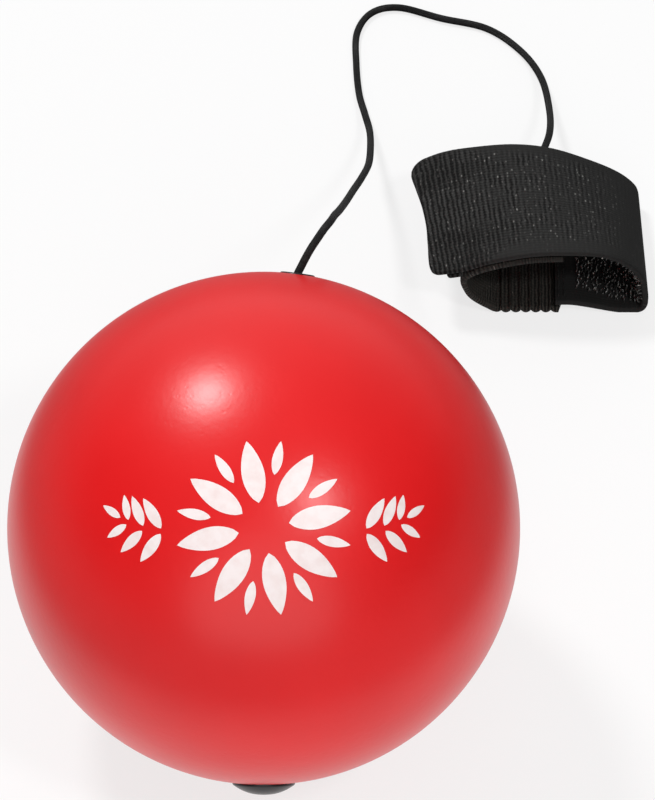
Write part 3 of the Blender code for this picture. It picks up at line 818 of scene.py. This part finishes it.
def woven_ribs(across, along):
    slip = sum(far * math.sin(across / wave + start) for far, wave, start in WANDERING)
    rise = math.cos(math.tau * (along + slip) / WEAVE_PITCH)
    fading = 1 - SUNK * eased(along, RIBS_SINK)
    return WEAVE_HEIGHT * weave_shows(across, along) * fading * (rise - 1) / 2


print("ribs on the tab:", round(lengths(hook_near)[(len(TAB_NEAR) - 1) * SPAN] / WEAVE_PITCH))

# %% [markdown]
# The tape is one length, made as three pieces: the tab, which peels open, the band round the turn, and
# the patch that is sewn under the tab's end. The tab's cut end is a little hollow, as tape is after it
# has been pulled open many times.

# %% Tab, band and patch
HOLLOW, HOLLOW_SHAPE = 0.0007, 1.5
TAB_NEAR_CORNER, TAB_FAR_CORNER, PATCH_CORNER, PATCH_MARGIN = 0.0013, 0.0022, 0.0005, 0.0012
PATCH_THICKNESS, PATCH_FROM, PATCH_TO = 0.0005, 0.0022, 0.0043


def hollow_end(side):
    return HOLLOW * math.sin(math.pi * side) ** HOLLOW_SHAPE


split = (len(TAB_NEAR) - 1) * SPAN
tab_near, tab_far = hook_near[: split + 1], hook_far[: split + 1]
band_near, band_far = hook_near[split:], hook_far[split:]
tab_run = lengths(halfway(tab_near, tab_far))
tab_corners = (corner(tab_run, TAB_NEAR_CORNER), corner(tab_run, TAB_FAR_CORNER))
tab = tape("tab_tape", tab_near, tab_far, STRAP_THICKNESS, tab_corners, relief=woven_ribs,
           trim=hollow_end, shows=weave_shows)
band = tape("band_tape", band_near, band_far, STRAP_THICKNESS, relief=woven_ribs,
            begins=tab_run[-1], shows=weave_shows)
covered = [i for i, along in enumerate(tab_run) if PATCH_FROM <= along <= PATCH_TO]
patch_near = inset(tab_near, STRAP_THICKNESS + CLEARANCE)[covered[0] : covered[-1] + 1]
patch_far = inset(tab_far, STRAP_THICKNESS + CLEARANCE)[covered[0] : covered[-1] + 1]
patch_run = lengths(halfway(patch_near, patch_far))
patch_edges = (corner(patch_run, PATCH_CORNER), [PATCH_MARGIN] * len(covered))
patch = tape("patch_tape", patch_near, patch_far, PATCH_THICKNESS, patch_edges)
print("tab, band, patch:", [len(piece.data.polygons) for piece in (tab, band, patch)], "faces")

# %% [markdown]
# ## Elastic
# The elastic is knitted with rubber threads. Where it lies slack on the table it pulls itself into
# round corrugations, with narrow grooves between them. A wave modifier would make the grooves as wide
# as the ribs, so the wave is written out: round towards the outside, with a sharp fold between two
# ribs. The elastic's sewn end is cut on a slant, and is shortest at the near edge.

# %% Elastic
CORRUGATION, ROUNDNESS = 0.00055, 0.7
SLANT, SLANT_WIDTH = 0.0033, 0.6


def corrugation(along):
    rib = (along - RIB_START) / RIB_PITCH
    if not 0 < rib < RIB_COUNT:
        return 0.0
    return CORRUGATION * (1 - abs(math.cos(math.pi * rib)) ** ROUNDNESS)


def slanted_end(side):
    return SLANT * max(1 - side / SLANT_WIDTH, 0.0)


elastic = tape("elastic_tape", elastic_near, elastic_far, STRAP_THICKNESS, wave=corrugation, trim=slanted_end)
print("elastic:", len(elastic.data.polygons), "faces")

# %% [markdown]
# ## Yarn
# All the tapes are black polyester yarn in ribs, each a row of loops. A checked pattern would look
# printed, so two waves that wander are crossed: one along the tape for the ribs, one across it for the
# loops. Further along the tab the ribs lose height and are worn away in patches.

# %% The yarn's ribs and loops
# Patterns to the metre: yarn wanders over 1.1 mm, and wear comes in patches of 2.4 mm.
WANDER, WEAR, SWAY = 900.0, 420.0, 5.0


def yarn_height(tree, spot, weave, pitch, loop):
    """How high the yarn stands, and the wave of the ribs alone."""
    parts = add_node(tree, "SeparateXYZ", {"Vector": spot})
    along = parts.outputs["Y"]
    wander = add_node(tree, "TexNoise", {"Vector": spot, "Scale": WANDER, "Detail": 2.0})
    waves = []
    for output, size in (("Y", pitch), ("X", loop)):
        turns = add_node(tree, "Math", {0: parts.outputs[output], 1: math.tau / size}, operation="MULTIPLY")
        sway = add_node(tree, "Math", {0: wander, 1: SWAY, 2: turns}, operation="MULTIPLY_ADD")
        waves.append(add_node(tree, "Math", {0: sway}, operation="COSINE"))
    patchy = add_node(tree, "TexNoise", {"Vector": spot, "Scale": WEAR, "Detail": 3.0})
    worn = add_node(tree, "MapRange", {"Value": patchy, "From Min": 0.40, "From Max": 0.62})
    onward = add_node(tree, "MapRange", {"Value": along, "From Min": 0.006, "From Max": 0.012, "To Max": 0.85})
    broken = add_node(tree, "Mix", {"Factor": onward, "A": 0.6, "B": worn})
    plain = add_node(tree, "Math", {0: broken, 1: weave}, operation="MULTIPLY")
    fading = add_node(tree, "MapRange", {"Value": along, "From Min": 0.004, "From Max": 0.016,
                                         "To Min": 2.6, "To Max": 1.3})
    uneven = add_node(tree, "Math", {0: plain, 1: fading}, operation="MULTIPLY")
    ribs = add_node(tree, "Math", {0: waves[0], 1: uneven}, operation="MULTIPLY")
    row = add_node(tree, "MapRange", {"Value": weave, "To Min": 0.1, "To Max": 0.42})
    loops = add_node(tree, "Math", {0: waves[1], 1: row, 2: ribs}, operation="MULTIPLY_ADD")
    height = add_node(tree, "MapRange", {"Value": loops, "From Min": -1.4, "From Max": 1.4})
    return height, waves[0]


# %% [markdown]
# Here and there a pale glint is painted into the colour, where a filament would catch the light, which gives
# the fine glitter that such tape has.
# Fine noise would glitter evenly all over; cells of the size of one loop, of which only a few are
# picked, keep each glint on one loop, and most of them on the ribs' crests.

# %% Painted glints
LOOP_LONG, LOOP_SLIM, RARITY = 1.1, 0.45, 9.0


def painted_glints(tree, spot, weave, rib_wave, pitch, loop):
    """Painted glints: where a loop on a rib's crest is coloured pale, as if a filament caught the light."""
    cell = (1.0 / (loop * LOOP_LONG), 1.0 / (pitch * LOOP_SLIM), 1.0)
    stretched = add_node(tree, "Mapping", {"Vector": spot, "Scale": cell})
    glint_cells = add_node(tree, "TexVoronoi", {"Vector": stretched, "Scale": 1.0})
    chance = add_node(tree, "SeparateColor", {"Color": glint_cells.outputs["Color"]})
    lucky = add_node(tree, "Math", {0: chance, 1: RARITY}, operation="POWER")
    spread = add_node(tree, "MapRange", {"Value": glint_cells, "From Max": 0.5, "To Min": 1.0, "To Max": 0.0})
    spark = add_node(tree, "Math", {0: lucky, 1: spread}, operation="MULTIPLY")
    crest = add_node(tree, "MapRange", {"Value": rib_wave, "From Min": -1.0, "To Min": 0.15, "To Max": 1.0})
    on_crest = add_node(tree, "Math", {0: crest, 1: weave}, operation="MULTIPLY")
    return add_node(tree, "Math", {0: spark, 1: on_crest}, operation="MULTIPLY")


# %% [markdown]
# Polyester yarn is dull. From about 18 mm along either tape the colour is painted darker, as shade. On the hook
# tape that is the tab's far end, the turn at the right and the band; on the elastic, its layer under the tab.
# The hook tape and the elastic are the same yarn, in ribs and loops of different sizes.


# %% Woven polyester
def woven_polyester(name, pitch, loop, dark, light, shine):
    """Yarn in cross ribs of one pitch, each a row of loops. shine is the colour of the painted glints."""
    material, tree, shader = new_material(name, IOR=1.5, Specular_IOR_Level=0.25)
    spot = add_node(tree, "TexCoord").outputs["UV"]
    along = add_node(tree, "SeparateXYZ", {"Vector": spot}).outputs["Y"]
    weave = add_node(tree, "Attribute", attribute_name="weave").outputs["Fac"]
    height, rib_wave = yarn_height(tree, spot, weave, pitch, loop)
    # Painted shade: from 18 mm along, the colour darkens for the turn at the right and for the elastic under
    # the tab.
    shade_further_on = add_node(tree, "MapRange", {"Value": along, "From Min": 0.018, "From Max": 0.030,
                                         "To Min": 1.0, "To Max": 0.65})
    shaded = add_node(tree, "Math", {0: height, 1: shade_further_on}, operation="MULTIPLY")
    # The ramp paints shade in the grooves between ribs and light on their crests.
    tint = add_node(tree, "ValToRGB", {"Fac": shaded}, stops=((0.0, dark), (1.0, light)))
    # Painted glints: pale loops are mixed into the colour where a filament would catch the light.
    glint = painted_glints(tree, spot, weave, rib_wave, pitch, loop)
    colour = add_node(tree, "Mix", {"Factor": glint, "A": tint, "B": to_linear(shine)}, data_type="RGBA")
    rough = add_node(tree, "MapRange", {"Value": height, "To Min": 0.9, "To Max": 0.65})
    bump = add_node(tree, "Bump", {"Height": height, "Strength": 0.9, "Distance": 0.00014})
    set_inputs(tree, shader, {"Base Color": colour.outputs["Result"], "Roughness": rough, "Normal": bump})
    return material


HOOK_TAPE_LOOP, KNIT_PITCH, KNIT_LOOP = 0.00046, 0.00046, 0.00052
# The last colour of each is that of its painted glints.
hook_back = woven_polyester("woven_polyester_hook_tape", WEAVE_PITCH, HOOK_TAPE_LOOP,
                            "#010101", "#2b2b2a", "#989894")
elastic_yarn = woven_polyester("knitted_polyester_elastic", KNIT_PITCH, KNIT_LOOP,
                               "#090908", "#393631", "#7c7a76")
print("tapes:", hook_back.name, "and", elastic_yarn.name)

# %% [markdown]
# The band, the patch and the elastic each stay with one body. The tab, which peels open, keeps its place in
# the scene with no body of its own.

# %% How the tapes move
for piece, material, node, slot, body in (
        (tab, hook_back, "strap_tab", "black_webbing", None),
        (band, hook_back, "strap_band", "black_webbing", "strap"),
        (patch, hook_back, "hook_patch", "black_hook_tape", "tab"),
        (elastic, elastic_yarn, "elastic_panel", "black_elastic", "strap")):
    dress(piece, material)
    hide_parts(node)
    if body:
        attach(piece, body)
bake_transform(tab)
for piece, run in ((tab, tab_run), (band, lengths(band_near)), (elastic, lengths(elastic_near))):
    print(piece.name, "is", round(run[-1], 4), "m long")

# %% [markdown]
# ## Hooks
# The inside of the hook tape is a field of small nylon hooks. One hook is a tapered strand, bent over
# at the top. A bevelled curve would be rounder, but there are some two thousand hooks, so one is made
# with 18 faces and then copied.

# %% One hook
HOOK_HEIGHT, HOOK_REACH, HOOK_THICK, HOOK_TAPER = 0.0006, 0.00034, 0.00009, 0.14
HOOK_LINE = [(0.0, 0.0), (0.02, 0.55), (0.18, 0.88), (0.58, 1.0), (0.95, 0.78)]
hook_verts, hook_faces = [], []
for i, (out, up) in enumerate(HOOK_LINE):
    ahead = Vector(HOOK_LINE[min(i + 1, len(HOOK_LINE) - 1)]) - Vector(HOOK_LINE[max(i - 1, 0)])
    wide = HOOK_THICK * (1 - HOOK_TAPER * i)
    flat = Vector((-ahead[1], ahead[0])).normalized() * wide
    for turn, side in ((-1, -1), (1, -1), (1, 1), (-1, 1)):
        x, z = out * HOOK_REACH + flat[0] * turn, up * HOOK_HEIGHT + flat[1] * turn
        hook_verts.append(Vector((x, wide * side, z)))
    if i:
        low, high = 4 * i - 4, 4 * i
        for j in range(4):
            k = (j + 1) % 4
            hook_faces.append((low + j, low + k, high + k, high + j))
hook_faces += [(3, 2, 1, 0), (16, 17, 18, 19)]
print("one hook:", len(hook_faces), "faces")

# %% [markdown]
# The hooks stand in rows that face each other by turns, each hook turned and placed a little
# differently, as the cut and heat-set hooks of a real tape are. A particle system would scatter them;
# a loop with a seeded dice keeps the rows, and gives the same hooks every time.

# %% Rows of hooks
HOOK_ROW, HOOK_STEP, EDGE_BARE, HOOK_SEED = 0.0007, 0.0005, 0.0006, 7
STEP_PLAY, ROW_PLAY, TURN_PLAY, LEAST_TALL = 0.15, 0.0003, 0.5, 0.9


def sample_at(run, distance):
    """The first sample of a line that is at least a distance along it, and not the line's last."""
    return min(next(k for k in range(1, len(run)) if run[k] >= distance), len(run) - 2)


def inside(curve, i, depth, side):
    """The point that lies a depth inside an outline's sample, in its place."""
    return strap_point(curve[i] - outward(curve, i) * depth, side)


def hook_rows(name, near, far, depth, first_row, last_row, selvedge, tall=None):
    """Hooks on the face that lies depth inside the outlines, between two distances along the tape.

    selvedge gives the bare edge at each distance, tall the share of its full height a hook has.
    """
    dice = random.Random(HOOK_SEED)
    run = lengths(halfway(near, far))
    verts, faces = [], []
    rows = int((last_row - first_row) / HOOK_ROW)
    for row in range(rows):
        along = first_row + row * HOOK_ROW
        i = sample_at(run, along)
        near_in, far_in = inside(near, i, depth, 0), inside(far, i, depth, 1)
        across = (far_in - near_in).normalized()
        ahead = (strap_point(near[i + 1], 0) - strap_point(near[i - 1], 0)).normalized()
        bare = selvedge(along)
        for k in range(int((STRAP_WIDTH - bare - EDGE_BARE) / HOOK_STEP)):
            reach = bare + HOOK_STEP * (k + 0.5 * (row % 2) + dice.uniform(-STEP_PLAY, STEP_PLAY))
            side = reach / STRAP_WIDTH
            flat_in = -(outward(near, i).lerp(outward(far, i), side))
            inwards = Vector((flat_in[0], 0.0, flat_in[1])).normalized()
            spot = near_in + across * reach + ahead * dice.uniform(-ROW_PLAY, ROW_PLAY)
            angle = dice.uniform(-TURN_PLAY, TURN_PLAY) + (math.pi if row % 2 else 0.0)
            facing = Matrix.Rotation(angle, 3, inwards) @ across
            facing = (facing - inwards * facing.dot(inwards)).normalized()
            turn = Matrix((facing, inwards.cross(facing), inwards)).transposed()
            share = tall(side) if tall else 1.0
            first = len(verts)
            for v in hook_verts:
                verts.append(spot + turn @ Vector((v.x, v.y, v.z * share * dice.uniform(LEAST_TALL, 1.0))))
            faces += [tuple(first + c for c in face) for face in hook_faces]
    print(name, len(faces) // len(hook_faces), "hooks in", rows, "rows")
    return soften(new_mesh(name, verts, faces=faces), 60.0)


# %% [markdown]
# There are three fields: on the band, where the loop shows them, under the tab, and on the patch. Under
# the closed tab a hook is pressed down to the gap that is there. Towards the seam the band's edge is
# bare for a wider strip, where the presser foot has flattened it.

# %% Fields of hooks
SEWN_END, SEAM_BARE, SEAM_FROM, PRESSED = 0.0015, 0.0024, 0.45, 0.8
PATCH_BARE, PATCH_PRESSED = 0.0024, 0.4
band_length = lengths(halfway(band_near, band_far))[-1]


def bare_by_seam(along):
    return EDGE_BARE + SEAM_BARE * max((along - SEAM_FROM * band_length) / ((1 - SEAM_FROM) * band_length), 0.0)


def room_under_tab(side):
    return min((CLOSED_GAP + (GAP_AT_CORD - CLOSED_GAP) * side) * PRESSED / HOOK_HEIGHT, 1.0)


hooks = hook_rows("hook_field", band_near, band_far, STRAP_THICKNESS, first_row=0.0008,
                  last_row=band_length - SEWN_END, selvedge=bare_by_seam)
tab_hooks = hook_rows("hook_field_tab", tab_near, tab_far, STRAP_THICKNESS, first_row=0.0046,
                      last_row=tab_run[-1] - 0.0016, selvedge=lambda along: EDGE_BARE, tall=room_under_tab)
patch_hooks = hook_rows("hook_field_patch", patch_near, patch_far, PATCH_THICKNESS, first_row=0.0008,
                        last_row=patch_run[-1] - 0.0002, selvedge=lambda along: PATCH_BARE,
                        tall=lambda side: PATCH_PRESSED)
fields = (hooks, tab_hooks, patch_hooks)
print("hooks in all:", sum(len(field.data.vertices) for field in fields) // len(hook_verts))

# %% [markdown]
# Hooks are cut from nylon monofilament, smooth and a little clear. Most hooks are black; some are given a pale
# colour, a painted sparkle where a hook would catch the light. A cell pattern of half a millimetre, about the
# space between two hooks, picks which.

# %% Nylon hooks
# Patterns to the metre: batches of 0.7 mm, cells of 0.5 mm.
BATCHES, HOOK_CELLS = 1500.0, 2000.0
nylon, tree, shader = new_material("black_nylon_monofilament", IOR=1.53)
where = add_node(tree, "TexCoord").outputs["Object"]
batch = add_node(tree, "TexNoise", {"Vector": where, "Scale": BATCHES, "Detail": 1.0})
tint = add_node(tree, "ValToRGB", {"Fac": batch}, stops=((0.0, "#121212"), (1.0, "#363535")))
cells = add_node(tree, "TexVoronoi", {"Vector": where, "Scale": HOOK_CELLS})
chance = add_node(tree, "SeparateColor", {"Color": cells.outputs["Color"]})
# Painted sparkle: a few hooks get a pale colour that stands for caught light.
painted_sparkle = add_node(tree, "Math", {0: chance, 1: RARITY}, operation="POWER")
colour = add_node(tree, "Mix", {"Factor": painted_sparkle, "A": tint, "B": to_linear("#a4a49e")}, data_type="RGBA")
rough = add_node(tree, "MapRange", {"Value": batch, "To Min": 0.18, "To Max": 0.34})
set_inputs(tree, shader, {"Base Color": colour.outputs["Result"], "Roughness": rough})
for piece, body in ((hooks, "strap"), (tab_hooks, "tab"), (patch_hooks, "tab")):
    dress(piece, nylon)
    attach(piece, body)
print("hooks:", nylon.name)

# %% [markdown]
# ## Stitches
# Two rows of lock stitches hold the band's end on the elastic. A dashed line in the tape's material
# would lie flat, so each stitch is a short piece of thread that dips into the tape at both ends.

# %% Stitches over the lap
THREAD, STITCH, STITCH_GAP, STITCH_SPAN = 0.00013, 0.0014, 0.0004, 3
SEAM_ROWS, SEAM_MARGIN = (0.0005, 0.0012), 0.001
STITCH_LINE = [(0.0, -0.00012), (0.12, 0.00003), (0.5, 0.00007), (0.88, 0.00003), (1.0, -0.00012)]
hook_run = lengths(hook_near)
stitches = []
for from_end in SEAM_ROWS:
    i = sample_at(hook_run, hook_run[-1] - from_end)
    a, b = inside(hook_near, i, STRAP_THICKNESS, 0), inside(hook_far, i, STRAP_THICKNESS, 1)
    for k in range(int((STRAP_WIDTH - 2 * SEAM_MARGIN) / (STITCH + STITCH_GAP))):
        start = SEAM_MARGIN + k * (STITCH + STITCH_GAP)
        line = []
        for share, lift in STITCH_LINE:
            line.append(a.lerp(b, (start + STITCH * share) / STRAP_WIDTH) + Vector((0.0, 0.0, lift)))
        stitches.append(tube("stitch", smooth(line, STITCH_SPAN), THREAD, sides=8))
bpy.ops.object.select_all(action="DESELECT")
for stitch in stitches:
    stitch.select_set(True)
bpy.context.view_layer.objects.active = stitches[0]
bpy.ops.object.join()
seam = bpy.context.object
seam.name = "lap_stitches"
dress(seam, braided_cover("spun_polyester_thread", STITCH))
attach(seam, "strap")
print("stitches:", len(stitches))

# %% [markdown]
# ## Printing
# The front is pad-printed in white with a flower between two leaf sprigs. It could be a picture in the
# skin's material, but a thin film of its own keeps the edges sharp. Every petal and leaf is the same
# small grid, drawn in to points at its ends.

# %% One leaf
LEAF_BELLY, LEAF_FULLNESS = 0.85, 0.8
bpy.ops.object.select_all(action="DESELECT")
bpy.ops.mesh.primitive_grid_add(x_subdivisions=14, y_subdivisions=6, size=1.0)
leaf = bpy.context.object
leaf.name = "leaf_pattern"
for vertex in leaf.data.vertices:
    share = vertex.co.x + 0.5
    vertex.co.y *= max(math.sin(math.pi * share**LEAF_BELLY), 0.0) ** LEAF_FULLNESS
leaf_verts = [Vector((v.co.x + 0.5, v.co.y, 0.0)) for v in leaf.data.vertices]
leaf_faces = [tuple(face.vertices) for face in leaf.data.polygons]
bpy.data.objects.remove(leaf, do_unlink=True)
print("one leaf:", len(leaf_faces), "faces")

# %% [markdown]
# The flower has long and short petals by turns. A sprig is three pairs of leaves and one at its tip,
# and the left-hand sprig is the right-hand one in a mirror. All are laid out flat first, as on the
# printing plate: where a leaf starts, which way it points, its length and how slim it is.

# %% The flower and the sprigs
PETALS = 16
LONG_PETAL, SHORT_PETAL = (0.0076, 0.0030, 0.36), (0.0042, 0.0064, 0.30)
SPRIG = [(0.0122, -0.0004, 0.05, 0.0044), (0.0146, -0.0001, 0.22, 0.0040), (0.0167, 0.0006, 0.42, 0.0032)]
LEAF_SPREAD, LEAF_GAP, LEAF_SLIM, TIP = 0.95, 0.0004, 0.34, (0.0179, 0.0013, 0.55, 0.0030)


def sprig_leaf(hand, right, up, heading, size):
    """A leaf of the right-hand sprig, or the same in a mirror."""
    mirrored = math.atan2(math.sin(heading), hand * math.cos(heading))
    return Vector((hand * right, up)), mirrored, size, LEAF_SLIM


leaves = []
for i in range(PETALS):
    angle = math.tau * (i + 0.5) / PETALS
    size, start, slim = (LONG_PETAL, SHORT_PETAL)[i % 2]
    leaves.append((Vector((math.cos(angle), math.sin(angle))) * start, angle, size, slim))
for hand in (1, -1):
    for right, up, lean, size in SPRIG:
        for heading in (lean + LEAF_SPREAD, lean - LEAF_SPREAD):
            root = (right + LEAF_GAP * math.cos(heading), up + LEAF_GAP * math.sin(heading))
            leaves.append(sprig_leaf(hand, *root, heading, size))
    leaves.append(sprig_leaf(hand, *TIP))
print("petals and leaves:", len(leaves))

# %% [markdown]
# The flat print is carried on to the ball with true lengths from its middle, as the soft pad of a
# printing machine does. Projecting it straight would stretch the sprigs at the sides.

# %% The print on the ball
PRINT_OUT = Vector((0.013, -0.6226, 0.783)).normalized()
PRINT_RIGHT = (Vector((1.0, 0.0, 0.0)) - PRINT_OUT * PRINT_OUT[0]).normalized()
PRINT_UP = PRINT_OUT.cross(PRINT_RIGHT)
INK = 0.00003
print_verts, print_faces = [], []
for stem, heading, size, slim in leaves:
    first = len(print_verts)
    ahead, aside = math.cos(heading), math.sin(heading)
    for v in leaf_verts:
        x, y = v.x * size, v.y * size * slim
        flat = stem + Vector((x * ahead - y * aside, x * aside + y * ahead))
        reach = max(flat.length, 1e-9)
        sideways = (PRINT_RIGHT * flat[0] + PRINT_UP * flat[1]) * (math.sin(reach / BALL_RADIUS) / reach)
        outwards = PRINT_OUT * math.cos(reach / BALL_RADIUS)
        print_verts.append(BALL_CENTRE + (outwards + sideways) * (BALL_RADIUS + INK))
    print_faces += [tuple(first + c for c in face) for face in leaf_faces]
flower = soften(new_mesh("printed_flower", print_verts, faces=print_faces), 60.0)
print("print:", len(print_faces), "faces")

# %% [markdown]
# The ink is a white pad-printing ink. It is thin enough for a trace of the red to come through, which
# could be a see-through film; a faint pink that varies gives the same look in any light.

# %% Printing ink
# Patches to the metre: 1.4 mm each.
INK_PATCHES = 700.0
white_ink, tree, shader = new_material("white_pad_printing_ink", IOR=1.48)
where = add_node(tree, "TexCoord").outputs["Object"]
cover = add_node(tree, "TexNoise", {"Vector": where, "Scale": INK_PATCHES, "Detail": 3.0})
tint = add_node(tree, "ValToRGB", {"Fac": cover}, stops=((0.3, "#eedcda"), (0.6, "#f4e8e7")))
rough = add_node(tree, "MapRange", {"Value": cover, "To Min": 0.35, "To Max": 0.5})
set_inputs(tree, shader, {"Base Color": tint, "Roughness": rough})
dress(flower, white_ink)
goes_with_foam(flower)
print("ink:", white_ink.name)

# %% [markdown]
# ## Table
# The ground is plain white. The table is a white sheet; for the camera and for glossy reflections most
# of it is plain white, so that the shadows stay but are soft. The ball's flanks reflect the sheet far
# away, and there it is darker, so the glow that reflections see ends a hand's breadth from the ball.

# %% Table
TABLE_SIZE, TABLE_TOP, WHITE = 6.0, -0.0001, (1.0, 1.0, 1.0, 1.0)
PLAIN_SHARE, GLOW_FROM, GLOW_TO = 0.75, 0.055, 0.100
bpy.ops.object.select_all(action="DESELECT")
bpy.ops.mesh.primitive_plane_add(size=TABLE_SIZE, location=(0, 0, TABLE_TOP))
table = bpy.context.object
table.name = "table"
white_sheet, tree, shader = new_material("white_sheet", Roughness=0.9, Specular_IOR_Level=0.1,
                                         Base_Color=to_linear("#e9e9e9"))
rays = add_node(tree, "LightPath").outputs
seen = add_node(tree, "Math", {0: rays["Is Camera Ray"], 1: rays["Is Glossy Ray"]}, operation="MAXIMUM")
seen = add_node(tree, "Math", {0: seen, 1: rays["Is Transmission Ray"]}, operation="MAXIMUM")
share = add_node(tree, "Math", {0: seen, 1: PLAIN_SHARE}, operation="MULTIPLY")
where = add_node(tree, "TexCoord").outputs["Object"]
away = add_node(tree, "VectorMath", {0: where}, operation="LENGTH").outputs["Value"]
glow = add_node(tree, "MapRange", {"Value": away, "From Min": GLOW_FROM, "From Max": GLOW_TO,
                                   "To Min": 1.0, "To Max": 0.0}, interpolation_type="SMOOTHSTEP")
strength = add_node(tree, "Math", {0: rays["Is Camera Ray"], 1: glow}, operation="MAXIMUM")
white = add_node(tree, "Emission", {"Color": WHITE, "Strength": strength})
mixed = add_node(tree, "MixShader", {0: share, 1: shader, 2: white})
set_inputs(tree, tree.nodes["Material Output"], {"Surface": mixed})
dress(table, white_sheet)
print("table:", white_sheet.name)

# %% [markdown]
# ## Room
# The world fills the shadows as a room would: bright behind, dark at both sides, so that the ball's
# flanks stay red. A picture of a room would do the same, but two smooth slopes need no file.

# %% World
ROOM, BACK_WALL = 0.384, 0.80
world = bpy.data.worlds.new("studio")
bpy.context.scene.world = world
world.use_nodes = True
tree = world.node_tree
towards = add_node(tree, "SeparateXYZ", {"Vector": add_node(tree, "TexCoord").outputs["Generated"]}).outputs
flank = add_node(tree, "Math", {0: towards["X"], 1: towards["X"]}, operation="MULTIPLY")
room = add_node(tree, "Math", {0: flank, 1: -ROOM, 2: ROOM}, operation="MULTIPLY_ADD")
behind = add_node(tree, "Math", {0: towards["Y"], 1: 0.0}, operation="MAXIMUM")
wall = add_node(tree, "Math", {0: behind, 1: behind}, operation="MULTIPLY")
level = add_node(tree, "Math", {0: wall, 1: BACK_WALL - ROOM, 2: room}, operation="MULTIPLY_ADD")
set_inputs(tree, tree.nodes["Background"], {"Color": WHITE, "Strength": level})
print("room:", ROOM, "and", BACK_WALL, "behind")

# %% [markdown]
# ## Lamps
# Two lamps face each other over the ball, as on a copying stand: the two soft spots on the skin show
# where they are. A broad, weak light in front lifts the ball's lower half, as a window would. Round
# area lamps are used, because a point lamp would make the spots small and the shadows hard.


# %% Lamps
def lamp(name, direction, size, power, distance=1.0):
    light = bpy.data.lights.new(name, "AREA")
    light.shape = "DISK"
    light.size = size
    light.energy = power
    obj = add_object(name, light)
    obj.location = BALL_CENTRE + Vector(direction).normalized() * distance
    obj.rotation_euler = Vector(direction).to_track_quat("Z", "Y").to_euler()
    return obj


lamp("lamp_behind_left", direction=(-0.349, 0.413, 0.841), size=0.20, power=5.65)
lamp("lamp_front_right", direction=(0.387, -0.400, 0.831), size=0.15, power=2.85)
lamp("window_in_front", direction=(0.0, -0.95, 0.30), size=1.20, power=4.6)
bpy.context.scene.view_settings.view_transform = "Standard"
print("lamps:", [light.name for light in bpy.data.lights])
